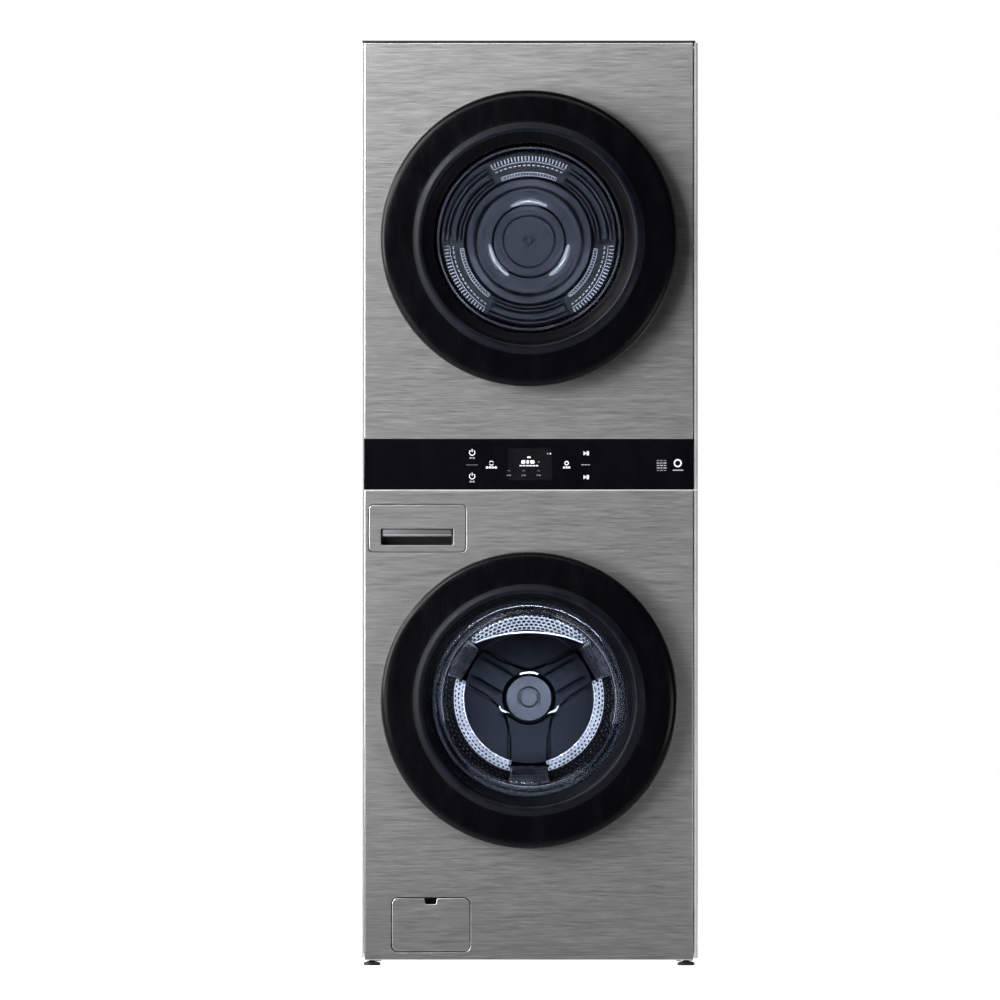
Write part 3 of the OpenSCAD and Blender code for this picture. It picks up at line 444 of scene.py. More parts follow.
GRIP_EDGE = painted("grip_edge_satin", (0.26, 0.26, 0.26), 0.34, 0.6, peel=90)
BOARD = painted("board_lacquer", (0.02, 0.1, 0.045), 0.4, peel=20, vary=0.2)
DRUM_STEEL = worn_metal("drum_stainless", (0.72, 0.745, 0.79), 0.3, 30, 0.000004, metal=0.7)
# light satin steel for the beads, pads and slot outlines inside both drums: painted highlights
DRUM_HIGHLIGHT_PAINT = worn_metal("drum_painted_highlight", (0.84, 0.87, 0.93), 0.34, 60, 0.000004, metal=0.4)
DRUM_DARK = worn_metal("drum_shaded", (0.03, 0.032, 0.038), 0.5, 40, metal=0.5)
# near-black steel for the washer drum's back wall and its unlit wall cells: painted shade
DRUM_SHADE_PAINT = worn_metal("drum_painted_shade", (0.0045, 0.005, 0.0065), 0.34, 60, 0.000003)
# darkened steel for the washer drum's hub and spoke beads: painted shade
DRUM_HUB_SHADE = worn_metal("drum_hub_painted_shade", (0.018, 0.0195, 0.023), 0.32, 60, 0.000003)
# darkened navy steel for the dryer drum's back, bolt and wall: painted shade
DRUM_BACK_SHADE = worn_metal("drum_back_painted_shade", (0.036, 0.038, 0.046), 0.36, 60, 0.000003)
LIFTER = worn_metal("lifter_stainless", (0.17, 0.17, 0.195), 0.27, (40, 8, 40), 0.000004)
BRIGHT = worn_metal("zinc_plated", (0.68, 0.69, 0.7), 0.24, 90)
CAST = worn_metal("die_cast", (0.55, 0.56, 0.57), 0.45, 140, 0.00006)
MAGNET = worn_metal("zinc_grey_steel", (0.22, 0.22, 0.23), 0.45, 70, metal=0.6)
WINDINGS = painted("copper_lacquer", (0.42, 0.16, 0.06), 0.35, 0.6, peel=30, vary=0.25)
BALLAST = painted("cast_concrete", (0.42, 0.42, 0.41), 0.85, peel=14, depth=0.0006, vary=0.14)
FINS = worn_metal("fin_aluminium", (0.7, 0.71, 0.72), 0.35, (20, 20, 400))
SEAL = painted("seal_rubber", (0.045, 0.046, 0.049), 0.6, peel=120)
BELT = painted("belt_rubber", (0.02, 0.02, 0.02), 0.6, peel=60)
RUBBER = painted("foot_rubber", (0.014, 0.014, 0.014), 0.55, peel=60)
MARK = glow_mark("mark_print", 0.46)
MARK_SOFT = glow_mark("mark_print_soft", 0.17)
MARK_DIM = glow_mark("mark_print_dim", 0.08)

SLOT_MATERIALS = {
    "stainless": STAINLESS, "side_paint": SIDE_PAINT, "black_paint": BLACK_PAINT, "galvanised": GALVANISED,
    "black_glass": BLACK_GLASS, "tinted_glass": WINDOW, "clear_glass": BOWL_GLASS, "black_plastic": BLACK_PLASTIC,
    "grey_plastic": GREY_PLASTIC, "white_plastic": WHITE_PLASTIC, "board": BOARD, "drum_steel": DRUM_STEEL,
    "lifter_plastic": LIFTER, "bright_steel": BRIGHT, "cast_metal": CAST, "magnet_steel": MAGNET,
    "windings": WINDINGS, "ballast": BALLAST, "fins": FINS, "seal_rubber": SEAL, "belt_rubber": BELT,
    "foot_mix": RUBBER,
}

for part in frame["record"]["subparts"]:
    carried = frame["nodes"][part["node"]]
    if not carried.material_slots:
        carried.data.materials.append(None)
    for material_slot in carried.material_slots:
        material_slot.material = SLOT_MATERIALS[part["material_slot"]]


# ---------------------------------------------------------------- front panels

SHEET = 1.2 * MM
FLANGE = 16 * MM
SEAT_OUTER = 289 * MM
SEAT_INNER = 280 * MM
SEAT_DEPTH = 14 * MM


def panel_shape(node, axis_z, mouth, holes):
    """A folded front sheet with the stamped seat that its door closes into."""
    shape = Shape()
    outline = round_rect(-PANEL_X, low(node).z, PANEL_X, high(node).z, 1.5 * MM, 3)
    fold = rounding(1.6 * MM, 5) + [(0, FLANGE), (SHEET, FLANGE), (SHEET, SHEET)]
    seat = rounding(1.4 * MM) + [(0, 2.2 * MM)]
    edge = rounding(0.7 * MM) + [(0, 2.2 * MM)]
    loops = [outline, circle(0, axis_z, SEAT_OUTER, 256)] + holes
    shape.plate(loops, [fold, seat] + [edge] * len(holes), FRONT)
    y = FRONT + SEAT_DEPTH
    shape.turned([
        (SEAT_OUTER, FRONT + 2 * MM), (SEAT_INNER + 2 * MM, y - 2 * MM), (SEAT_INNER, y - 0.4 * MM),
        (SEAT_INNER - 2 * MM, y), (mouth + 3 * MM, y), (mouth + 0.8 * MM, y + 0.8 * MM), (mouth, y + 3 * MM),
        (mouth, y + 14 * MM), (mouth + SHEET, y + 14 * MM), (mouth + SHEET, y + 3.4 * MM),
        (mouth + 3.5 * MM, y + SHEET), (SEAT_INNER - 1 * MM, y + SHEET), (SEAT_INNER + 3 * MM, y - 1 * MM),
        (SEAT_OUTER + SHEET, FRONT + 2 * MM)], axis_z, segments=256)
    return shape


drawer_low, drawer_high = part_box("drawer_front")
cover_low, cover_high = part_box("drain_cover")
COVER_PIN = 4.5 * MM                # how far the drain cover's hinge pins stand out at its sides
cover_x0, cover_x1 = cover_low.x + COVER_PIN, cover_high.x - COVER_PIN


def opening(x0, z0, x1, z1, gap, r):
    """The hole that leaves a gap all round a small front piece."""
    return round_rect(x0 - gap, z0 - gap, x1 + gap, z1 + gap, r)


washer_holes = [opening(drawer_low.x, drawer_low.z, drawer_high.x, drawer_high.z, 2 * MM, 10.5 * MM),
                opening(cover_x0, cover_low.z, cover_x1, cover_high.z, 2.5 * MM, 14.5 * MM)]
panel_shape("washer_front_panel", WASHER_Z, 226 * MM, washer_holes).build(
    "washer_panel_sheet", "stainless", [STAINLESS], "cabinet", ["washer_front_panel"])
panel_shape("dryer_front_panel", DRYER_Z, 210 * MM, []).build(
    "dryer_panel_sheet", "stainless", [STAINLESS], "cabinet", ["dryer_front_panel"])


# ---------------------------------------------------------------- detergent drawer and drain cover

def drawer():
    """The drawer's front: brushed face, black pocket and a satin grip bar across its upper half."""
    shape = Shape()
    a, b = drawer_low, drawer_high
    x0, x1 = a.x + 23.6 * MM, b.x - 24.3 * MM
    z0, z1 = a.z + 13 * MM, a.z + 47.2 * MM
    radii = (5 * MM, 5 * MM, 1.2 * MM, 1.2 * MM)
    outline = round_rect(a.x, a.z, b.x, b.z, 9 * MM)
    mouth = round_rect(x0, z0, x1, z1, radii)
    shape.plate([outline, mouth], [rounding(0.9 * MM) + [(0, 4 * MM)], rounding(0.5 * MM) + [(0, 4 * MM)]], FRONT)
    depth = 27 * MM
    inner = [[(x, FRONT + d, z) for x, z in inset(mouth, k)]
             for k, d in [(-1.6 * MM, depth), (-1.6 * MM, 1.2 * MM), (0.4 * MM, 1.2 * MM), (1.4 * MM, 3 * MM),
                          (1.6 * MM, depth - 5 * MM), (4 * MM, depth - 2 * MM)]]
    shape.grid(inner, 1, around=True)
    shape.fill([inner[-1]], 1)
    shape.fill([inner[0]], 1)
    # cross sections of the bar, as (y behind the front, z below the pocket's top), face first
    face = [(7, 1.7), (3.6, 1.9), (2.7, 4), (2.2, 10.6), (2.8, 11.6)]
    lip = [(2.8, 11.6), (3.2, 12.6), (4.4, 14.4), (6.2, 15.8), (9, 16.3), (9, 9)]
    for section, slot in ((face, 2), (lip, 3)):
        rows = []
        for x, shrink in ((x0 + 3.4 * MM, 2.0), (x0 + 5.6 * MM, 0.5), (x0 + 7 * MM, 0), (x1 - 7 * MM, 0),
                          (x1 - 5.6 * MM, 0.5), (x1 - 3.4 * MM, 2.0)):
            rows.append([(x, FRONT + (d + shrink) * MM, z1 - h * MM) for d, h in section])
        shape.grid(rows, slot)
    shape.build("drawer_face", "stainless", [STAINLESS, BLACK_PLASTIC, GRIP_GREY, GRIP_EDGE], "drawer",
                ["drawer_front"])


def drain_cover():
    """The drain cover: brushed face with a finger notch, and its hinge ears and pins behind."""
    shape = Shape()
    nx, zt = (cover_x0 + cover_x1) / 2, cover_high.z
    r, steps = 12 * MM, 8
    base = round_rect(cover_x0, cover_low.z, cover_x1, zt, r, steps)
    notch = [(nx + 13.2 * MM, zt), (nx + 11.2 * MM, zt - 10.6 * MM), (nx + 9.6 * MM, zt - 12 * MM),
             (nx - 9.6 * MM, zt - 12 * MM), (nx - 11.2 * MM, zt - 10.6 * MM), (nx - 13.2 * MM, zt)]
    cut = 3 * (steps + 1)
    outline = base[:cut] + notch + base[cut:]
    shape.plate([outline], [rounding(0.9 * MM) + [(0, 3 * MM)]], FRONT)
    # black rim behind the face, so that the notch has a lip
    shape.plate([inset(outline, 2.2 * MM)], [[(0, 3 * MM), (0, 5.5 * MM)]], FRONT, 1)
    pin_y, pin_z = FRONT + 9 * MM, cover_low.z + 14.6 * MM
    for side, edge in ((-1, cover_x0), (1, cover_x1)):
        ear = edge - side * 5 * MM
        shape.block((ear - 2 * MM, FRONT + 2.9 * MM, pin_z - 5 * MM),
                    (ear + 2 * MM, FRONT + 13 * MM, pin_z + 6 * MM), 1)
        shape.tube([(ear, pin_y, pin_z), (edge + side * COVER_PIN, pin_y, pin_z)], 2.9 * MM, 1, 24)
    shape.build("drain_cover_face", "stainless", [STAINLESS, BLACK_PLASTIC], "drain_cover", ["drain_cover"])


drawer()
drain_cover()


# ---------------------------------------------------------------- control band

def control_band():
    """One strip of black glass with a rolled edge and a slightly lighter display pane."""
    shape = Shape()
    a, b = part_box("control_glass")
    shape.plate([round_rect(a.x, a.z, b.x, b.z, 1 * MM, 3)], [rounding(0.6 * MM) + [(0, b.y - a.y)]], FRONT)
    pane = round_rect(-42 * MM, 992 * MM, 47 * MM, 1057 * MM, 2 * MM, 4)
    shape.plate([pane], [[(0, -0.06 * MM), (0, 0.2 * MM)]], FRONT, 1)
    shape.build("control_glass_pane", "black_glass", [BLACK_GLASS, PANE_BLACK], "cabinet", ["control_glass"])


class Marks:
    """Thin prints on the glass, in millimetres across and above the floor."""

    def __init__(self):
        self.shape = Shape()

    def area(self, loop, slot=0, holes=()):
        loops = [[(x * MM, z * MM) for x, z in part] for part in (loop, *holes)]
        edge = [(0, -0.22 * MM), (0, 0.05 * MM)]
        self.shape.plate(loops, [edge] * len(loops), FRONT, slot)

    def bar(self, x, z, w, h, slot=0):
        self.area(round_rect(x - w / 2, z - h / 2, x + w / 2, z + h / 2, min(w, h) * 0.3, 3), slot)

    def dashes(self, x, z, widths, h, gap, slot=0):
        """A row of short bars in place of a caption."""
        at = x - (sum(widths) + gap * (len(widths) - 1)) / 2
        for w in widths:
            self.bar(at + w / 2, z, w, h, slot)
            at += w + gap

    def ring(self, x, z, r, stroke, slot=0, start=0, sweep=360):
        steps = 40
        arc = [math.radians(start + sweep * k / steps) for k in range(steps if sweep == 360 else steps + 1)]
        outer = [(x + r * math.cos(a), z + r * math.sin(a)) for a in arc]
        inner = [(x + (r - stroke) * math.cos(a), z + (r - stroke) * math.sin(a)) for a in arc]
        if sweep == 360:
            self.area(outer, slot, [inner])
        else:
            self.area(outer + inner[::-1], slot)

    def power(self, x, z):
        self.ring(x, z, 6.3, 1.5, start=128, sweep=284)
        self.bar(x, z + 4.4, 1.4, 6.2)

    def play(self, x, z):
        self.area([(x - 5, z - 4.4), (x + 0.6, z), (x - 5, z + 4.4)])
        self.bar(x + 2.2, z, 1.7, 8.6)
        self.bar(x + 4.9, z, 1.7, 8.6)


def control_marks():
    """The lit key marks: plain symbols, with dashes where a product would carry captions."""
    marks = Marks()
    for z in (1048.5, 1000):
        marks.power(-116, z)
        marks.dashes(-116, z - 11, (4.6, 4.6), 3, 1.4, 1)
    marks.bar(-116, 1023.3, 24, 0.9, 2)
    for start in (20, 200):
        marks.ring(-76.6, 1026.8, 4.8, 1.3, start=start, sweep=140)
    marks.dashes(-76.6, 1018, (5, 5, 3.4, 5), 4, 1.3, 0)
    marks.bar(0, 1038.8, 7, 3.2)
    marks.dashes(-2, 1029.3, (8, 5, 8.6), 6.8, 2.6, 0)
    marks.bar(20, 1029.3, 2.4, 1.6, 1)
    marks.dashes(0, 1021.7, (5.2, 5.2, 5.2, 5.2, 5.2, 5.2), 2.3, 1.4, 0)
    for x in (-41, -10.6, 20):
        marks.ring(x, 1009, 3.4, 1.0, 2, start=30, sweep=120)
        marks.dashes(x, 1002, (3.2, 4), 2.6, 1.2, 2)
    for x, slot in ((38.4, 1), (44, 0)):
        marks.bar(x, 1046.3, 2.6, 2.6, slot)
    marks.ring(77, 1026.8, 4.5, 1.7)
    marks.dashes(77, 1018, (4, 4.4, 4), 4, 1.2, 0)
    for z in (1047, 998.3):
        marks.play(116.7, z)
    marks.dashes(116, 1023.5, (5, 5, 5), 1.6, 1.2, 1)
    for row, z in enumerate((1032, 1027, 1022, 1017, 1012)):
        marks.dashes(271, z, (6, 4, 7) if row % 2 else (4, 7, 5), 2.1, 1.6, 2 if row in (0, 4) else 1)
    marks.ring(304, 1026.8, 8.2, 2.6)
    marks.bar(304.6, 1012.4, 22, 2.2, 1)
    marks.shape.build("control_marks", "black_glass", [MARK, MARK_SOFT, MARK_DIM], "cabinet")


control_band()
control_marks()


# ---------------------------------------------------------------- doors

RIDGE_R = 238                       # where the ridge round the window begins, in millimetres
SLOPE_R = 219                       # where it falls away towards the window


def door(name, z, window_r):
    """Black domed ring and tinted dished window of one door."""
    ring = Shape()
    # (radius, depth behind the crest) of the outer skin, from the rim to the window's edge
    skin = [(303, 36), (303, 28), (302.6, 23), (301.2, 18.6), (298.4, 15.2), (294, 12.8), (286, 11), (272, 9.4),
            (256, 7.9), (244, 6.6), (237, 5.3), (232, 3.6), (228.5, 1.7), (225.5, 0.45), (223, 0),
            (220.5, 0.4), (218, 1.5), (216, 3)]
    if window_r < 0.2:
        skin += [(211, 6), (205, 8.6), (200, 10.4), (197, 11.4)]
    skin = set_back(CREST, skin)
    window_y = skin[-1][1] + 1.2 * MM
    skin.append((window_r, window_y))
    inner = [(window_r, window_y + 4 * MM), (window_r + 8 * MM, window_y + 5 * MM)]
    inner += set_back(CREST, [(234, 13), (285, 17), (296, 22), (299, 36)])
    ridge, slope = (next(i for i, (r, y) in enumerate(skin) if r < edge * MM) for edge in (RIDGE_R, SLOPE_R))
    for slot, stretch in enumerate((skin[:ridge + 1], skin[ridge:slope + 1], skin[slope:])):
        ring.turned(stretch, z, segments=256, slot=slot, closed=False)
    ring.turned([skin[-1]] + inner + [skin[0]], z, segments=256, closed=False)
    ring.build(name + "_ring", "tinted_glass", [DOOR_BLACK, DOOR_RIDGE, DOOR_SLOPE], name, [name + "_cover"], 50)

    pane = Shape()
    steps = 14
    edge, dish = window_r - 0.15 * MM, 17 * MM
    face = [(edge * (1 - k / steps), window_y + dish * smooth(k / steps) * 0.9) for k in range(steps)]
    front = [(edge, window_y)] + face[1:] + [(0, window_y + dish * 0.9)]
    back = [(r, y + 3.6 * MM) for r, y in reversed(front)]
    pane.turned(front + back, z, segments=256)
    pane.build(name + "_window", "tinted_glass", [WINDOW], name)


def bowl(name, z, depth, floor_r):
    """Pressed glass bowl: flange, rolled shoulder, sloping wall and crowned floor."""
    shape = Shape()
    y0, y1, t = FRONT - 16 * MM, FRONT + depth, 5 * MM
    inside = set_back(y0, [(216, 0), (204, 0), (198, 2), (194.5, 6), (192, 12)])
    inside += [(floor_r + r * MM, y1 - d * MM) for r, d in ((3, 22), (-1, 15), (-8, 9.5))]
    inside += [(floor_r * f, y1 - t - 3 * MM * f) for f in (0.88, 0.7, 0.45, 0.2)] + [(0, y1 - t)]
    outside = [(0, y1)] + [(floor_r * f, y1 - 3 * MM * f) for f in (0.2, 0.45, 0.7, 0.9)]
    outside += [(floor_r, y1 - 8 * MM), (floor_r + 5 * MM, y1 - 13 * MM), (floor_r + 8 * MM, y1 - 21 * MM),
                *set_back(y0, [(197, 14), (199, 8.5), (203, 6), (216, 6)])]
    shape.turned(inside + outside, z, segments=192)
    shape.build(name + "_glass_bowl", "clear_glass", [BOWL_GLASS], name, [name + "_bowl"])


door("washer_door", WASHER_Z, 213 * MM)
door("dryer_door", DRYER_Z, 195 * MM)
bowl("washer_door", WASHER_Z, 110 * MM, 168 * MM)
bowl("dryer_door", DRYER_Z, 62 * MM, 172 * MM)


# ---------------------------------------------------------------- dryer drum

def height_field(shape, height, radii, z, y, turns, slot_at):
    """A pressed wall facing the front: height in millimetres towards the door, and slot_at for its material."""
    angles = [360 * j / turns for j in range(turns)]
    first = len(shape.slots)
    shape.grid([[polar(r * MM, a, y - height(r, a) * MM, z) for a in angles] for r in radii], around=True)
    middles = [(r + after) / 2 for r, after in zip(radii, radii[1:])]
    shape.slots[first:] = [slot_at(r, a + 180 / turns) for r in middles for a in angles]


def crescent(shape, r, half_width, centre, half_angle, height, y, z, slot):
    """A pressed pad that swells out of a wall, thickest in its middle; the dryer draws its pads in light satin
    steel as painted highlights.
    """
    rows = []
    for i in range(9):
        u = i / 4 - 1
        row = []
        for j in range(33):
            v = j / 16 - 1
            rise = height * (1 - u * u) * (1 - v * v) - 0.4
            across = u * half_width * (1 - 0.6 * v * v)
            row.append(polar((r + across) * MM, centre + v * half_angle, y - rise * MM, z))
        rows.append(row)
    shape.grid(rows, slot)


def sector_window(angle, half, soft):
    """1 within half degrees of a sector's middle, fading to 0 over soft degrees."""
    return smooth((half + soft - abs(near(angle, SECTOR_ANGLES))) / (2 * soft))


SECTOR_HALF = 31                    # half width of a sector with air slots, in degrees
# the pads round the bolt are light satin steel: painted highlights
CRESCENT_ANGLES = (90, 212, 328)    # middles of the bright pads round the bolt


def dryer_wall(r, angle):
    """Pressing of the dryer drum's back wall."""
    h = 4.5 * smooth((76.5 - r) / 3.0)
    h += 0.5 * (1 - min(1, r / 50)) + 0.8 * bell(r, 52, 1.4) - 0.5 * bell(r, 58, 2.2) + 0.4 * bell(r, 65, 1.4)
    if r < 50:
        h += 0.2 * math.sin(math.radians(angle * 5 + 20)) * smooth(r / 30) * smooth((50 - r) / 8)
    scoop = sector_window(angle, 17, 9)
    h -= 4.2 * scoop * smooth((r - 76) / 2) * smooth((90 - r) / 11)
    h += 1.8 * bell(r, 106, 6) + 2.2 * bell(r, 131, 2.0)
    sector = sector_window(angle, SECTOR_HALF, 2)
    ridges = ((1.5, 139, 1.4), (1.8, 147, 1.8), (1.7, 163, 1.8), (1.4, 171, 1.6))
    h += (1 - sector) * sum(height * bell(r, at, width) for height, at, width in ridges)
    h -= sector * 2.2 * (smooth((r - 133) / 2) - smooth((r - 181) / 3))
    h += 1.4 * bell(r, 188, 2.2)
    h += 7 * smooth((r - 190) / 10)
    notch = bell(near(angle, (0, 180)), -3, 1.3) * bell(r, 160, 26)
    return h - 1.6 * notch


def arc_points(r, centre, half, y, z, steps):
    return [polar(r * MM, centre - half + 2 * half * k / steps, y, z) for k in range(steps + 1)]


def dryer_drum():
    """Back wall with its pressings and air slots, ribbed wall and rolled front of the dryer drum."""
    shape = Shape()
    # slots: plain is darkened steel and shaded a still darker steel, both painted shade; satin is light steel for
    # painted highlights
    plain, satin, shaded = range(3)
    radii = [0.01, 3, 6, 9, 12] + [12 + 1.6 * k for k in range(1, 120)] + [206, 212, 225, 245, 265, 283]
    # the slotted sectors between 133 and 182 mm take the shaded steel and the rest plain: painted shade
    height_field(shape, dryer_wall, radii, DRYER_Z, DRYER_BACK, 360,
                 lambda r, a: shaded if 133 < r < 182 and abs(near(a, SECTOR_ANGLES)) < SECTOR_HALF else plain)
    for centre in CRESCENT_ANGLES:
        crescent(shape, 82, 7.5, centre, 28, 7, DRYER_BACK, DRYER_Z, satin)
    y = DRYER_BACK
    # bolt in the middle, with a washer under its head
    bolt = [(14, -6.4), (13.4, -9.4), (9.6, -9.8), (9.2, -14), (7.6, -15), (4.4, -15), (3.6, -12.6), (0, -12.6),
            (0, -5)]
    shape.turned(set_back(y, bolt), DRYER_Z, segments=48)
    # thin bead where the pressing meets the wall, in light satin steel: a painted highlight
    for centre, half in ((162, 30), (4, 26), (268, 24)):
        shape.tube(arc_points(192.5, centre, half, y - 2.4 * MM, DRYER_Z, 40), 0.55 * MM, satin, 6)
    face = y - 0.2 * MM

    def radial(r0, r1, a, thick):
        shape.tube([polar(r * MM, a, face, DRYER_Z) for r in (r0, r1)], thick * MM, satin, 6)

    # the air slots are drawn as raised beads of light satin steel: painted highlights
    for centre in SECTOR_ANGLES:
        # outlined slot nearest the middle
        outer = arc_points(142.5, centre, 23.5, face, DRYER_Z, 40)
        inner = arc_points(135.5, centre, 23.5, face, DRYER_Z, 40)[::-1]
        shape.tube(outer + inner, 1.15 * MM, satin, 8, closed=True)
        for k in range(19):
            radial(137.4, 140.6, centre - 22 + 44 * k / 18, 1.0)
        # dashes, then a comb of radial slots
        for k in range(15):
            shape.tube(arc_points(157, centre - 25 + 50 * k / 14, 1.05, face, DRYER_Z, 3), 1.15 * MM, satin, 6)
        for k in range(23):
            radial(166.5, 176, centre - 26.5 + 53 * k / 22, 1.15)
        shape.tube(arc_points(164, centre, 26.5, face, DRYER_Z, 40), 0.7 * MM, satin, 6)
    f, r = low("dryer_drum").y, 305
    ribs = []
    for k in range(60):
        t = k / 59
        wave = 0.5 + 0.5 * math.cos(t * math.tau * 9)
        ribs.append(((r - 1.2 - 1.3 * wave) * MM, f + 0.022 + t * (y - f - 0.05)))
    outline = set_back(f, [(212, 14), (212, 4), (216, 0.6), (275, 0.6), (r - 7, 8)]) + ribs
    outline += set_back(y, [(r - 8, -12), (r - 22, -4), (283, 4), (r - 4, -2), (r, -12)])
    outline += set_back(f, [(r, 22), (r - 6, 7), (r - 30, 0), (213, 14)])
    shape.turned(outline, DRYER_Z, segments=160)
    return shape


def lifter_surface(shape, axis_z, angle, front_y, back_y, r_front, r_back, r_wall, half, ridges, depth):
    """A ramped lifter between the drum's front and back, with ridges across it."""
    a = math.radians(angle)
    radial, across = Vector((math.cos(a), 0, math.sin(a))), Vector((-math.sin(a), 0, math.cos(a)))
    rows = []
    steps, sides = ridges * 8, (-1.16, -1.1, -1.0, -0.92, -0.8, -0.5, 0, 0.5, 0.8, 0.92, 1.0, 1.1, 1.16)
    for i in range(steps + 1):
        t = i / steps
        base = r_front + (r_back - r_front) * smooth(t * 0.9 + 0.05)
        wave = depth * (0.5 + 0.5 * math.cos(math.tau * ridges * t))
        y = front_y + (back_y - front_y) * t
        row = []
        for s in sides:
            drop = smooth((abs(s) - 0.78) / 0.38)
            r = base + wave * (1 - drop) + (r_wall - base) * drop
            row.append(tuple(radial * r + across * (half * s) + Vector((0, y, axis_z))))
        rows.append(row)
    shape.grid(rows)
    for row in (rows[0], rows[-1]):
        foot = [tuple(Vector(p) + radial * 0.012) for p in row]
        shape.grid([row, foot])


dryer_drum().build("dryer_drum_pressed", "drum_steel", [DRUM_BACK_SHADE, DRUM_HIGHLIGHT_PAINT, DRUM_DARK], "dryer_drum",
                   ["dryer_drum"], 40)
dryer_lifters = Shape()
for lifter_angle in LIFTER_ANGLES:
    lifter_surface(dryer_lifters, DRYER_Z, lifter_angle, -0.19, 0.29, 0.262, 0.246, 0.298, 0.03, 4, 0.002)
dryer_lifters.build("dryer_drum_lifters", "lifter_plastic", [LIFTER], "dryer_drum", ["dryer_lifters"])


# ---------------------------------------------------------------- washer drum

HOLE_R = 4.0 * MM
HOLE_PITCH = 11.6 * MM
WALL_FRONT = -0.2                   # where the side wall meets the rolled front
PRESSED_BACK = WASHER_BACK - 0.018  # lowest level of the pressed back wall
# radius of the wall and its distance in front of the pressed back, in millimetres
WALL_BENDS = [(134, 0), (137, 2), (141, 6), (150, 17), (165, 36), (178, 54), (187, 72), (192, 94), (195, 130),
              (197, 200)]
HOLED_HALF = 44                     # half width of a perforated field, in degrees
SPOKE_HALF = 41                     # half width of a spoke, in millimetres
# the bright wall cells are painted light, the hub and the near-black back and wall cells are painted shade, the
# shaded lips are shade, and the satin beads are painted highlights
PAINTED_LIGHT_WALL, HUB, SHADED, PAINTED_HIGHLIGHT, PAINTED_SHADE = range(5)     # materials of the washer drum


def wall_depth(r):
    """How far in front of the pressed back the wall stands at radius r, in millimetres."""
    for (r0, d0), (r1, d1) in zip(WALL_BENDS, WALL_BENDS[1:]):
        if r <= r1:
            return d0 + (d1 - d0) * (r - r0) / (r1 - r0)
    return WALL_BENDS[-1][1]


def wall_profile():
    """Points (radius, y) up the drum's wall from its back to its mouth, evenly spaced along it."""
    raw = [(r * MM, PRESSED_BACK - d * MM) for r, d in WALL_BENDS] + [(209 * MM, WALL_FRONT)]
    lengths = [0]
    for p, q in zip(raw, raw[1:]):
        lengths.append(lengths[-1] + math.hypot(q[0] - p[0], q[1] - p[1]))
    count = int(lengths[-1] / HOLE_PITCH * 1.12)

    def at(s):
        i = 1
        while i < len(lengths) - 1 and lengths[i] < s:
            i += 1
        t = (s - lengths[i - 1]) / (lengths[i] - lengths[i - 1])
        p, q = raw[i - 1], raw[i]
        return p[0] + (q[0] - p[0]) * t, p[1] + (q[1] - p[1]) * t

    return at, lengths[-1], count


def lens_edge(away):
    """Radius at which the holes begin, away degrees from the middle of the gap between two lifters."""
    return (139 + 24 * (away / 45) ** 2) * MM


def washer_wall(shape):
    """The perforated wall: a grid of cells, those inside the perforated fields with a round hole that is flanged
    outwards.
    """
    at, total, rows = wall_profile()
    columns, side = 96, 4
    step = total / rows
    edge = [(k / side, 0) for k in range(side)] + [(1, k / side) for k in range(side)]
    edge += [(1 - k / side, 1) for k in range(side)] + [(0, 1 - k / side) for k in range(side)]
    for i in range(rows):
        mid_r = at((i + 0.5) * step)[0]
        ahead, behind = at((i + 0.9) * step), at((i + 0.1) * step)
        tangent = Vector((ahead[0] - behind[0], ahead[1] - behind[1])).normalized()
        outward = Vector((-tangent.y, tangent.x))
        for j in range(columns):
            shift = (i % 2) / 2
            centre = (j + 0.5 + shift) / columns * 360
            away = abs(near(centre, SECTOR_ANGLES))
            upper = abs(off(centre, 90)) < 60
            holed = away < HOLED_HALF and mid_r > (lens_edge(away) if upper else 137 * MM)
            # lit cells take the bright wall steel as painted light and all other cells near-black steel as painted
            # shade; in the lower fields only two bands of radius are lit
            lit = holed if upper else away < HOLED_HALF and (mid_r < 155 * MM or mid_r > 180 * MM)
            size = HOLE_R * (1 if upper else 0.72) if holed else 0
            ring, lip, rim = [], [], []
            for u, v in edge:
                s, turn = (i + v) * step, (j + u + shift) / columns * 360
                r, y = at(s)
                ring.append(polar(r, turn, y, WASHER_Z))
                a = math.atan2((v - 0.5) * step, (u - 0.5) * math.tau * mid_r / columns)
                for store, radius, sink in ((rim, size, 0.0), (lip, size * 0.9, 1.3 * MM)):
                    r, y = at((i + 0.5) * step + radius * math.sin(a))
                    turn = centre + math.degrees(radius * math.cos(a) / mid_r)
                    r, y = r + outward.x * sink, y + outward.y * sink
                    store.append(polar(r, turn, y, WASHER_Z))
            shape.grid([ring, rim], PAINTED_LIGHT_WALL if lit else PAINTED_SHADE, around=True)
            if holed:
                shape.grid([rim, lip], SHADED, around=True)


def washer_back(r, angle):
    """Pressing of the washer drum's back wall: hub, three spokes and recessed sectors."""
    spoke = near(angle, LIFTER_ANGLES)
    across = r * math.sin(math.radians(spoke)) if abs(spoke) < 90 else 999
    along = r * math.cos(math.radians(spoke))
    on = smooth((41.5 + max(0, 78 - along) * 0.22 - abs(across)) / 5)
    h = 7.5 * on * smooth((r - 50) / 6)
    h += 9 * smooth((50 - r) / 4) + 1.2 * bell(r, 20.5, 1.7) - 1.0 * smooth((18 - r) / 1.6)
    h += 2.6 * bell(r, 53.5, 2.6) * bell(off(angle, 90), 0, 19)
    for dash in (62, 84, 106):
        if angle < 200:
            h += 2.4 * bell(along, dash, 12) * bell(abs(across), 21, 3.4) * on
    h += 2.2 * bell(abs(across), SPOKE_HALF, 2.2) * smooth((along - 58) / 6) * smooth((126 - along) / 6)
    h += 4.0 * bell(near(angle, (216, 324)), 0, 9) * bell(r, 60, 5)
    return h + 0.1 * math.sin(r * 0.9) * smooth((47 - r) / 4)


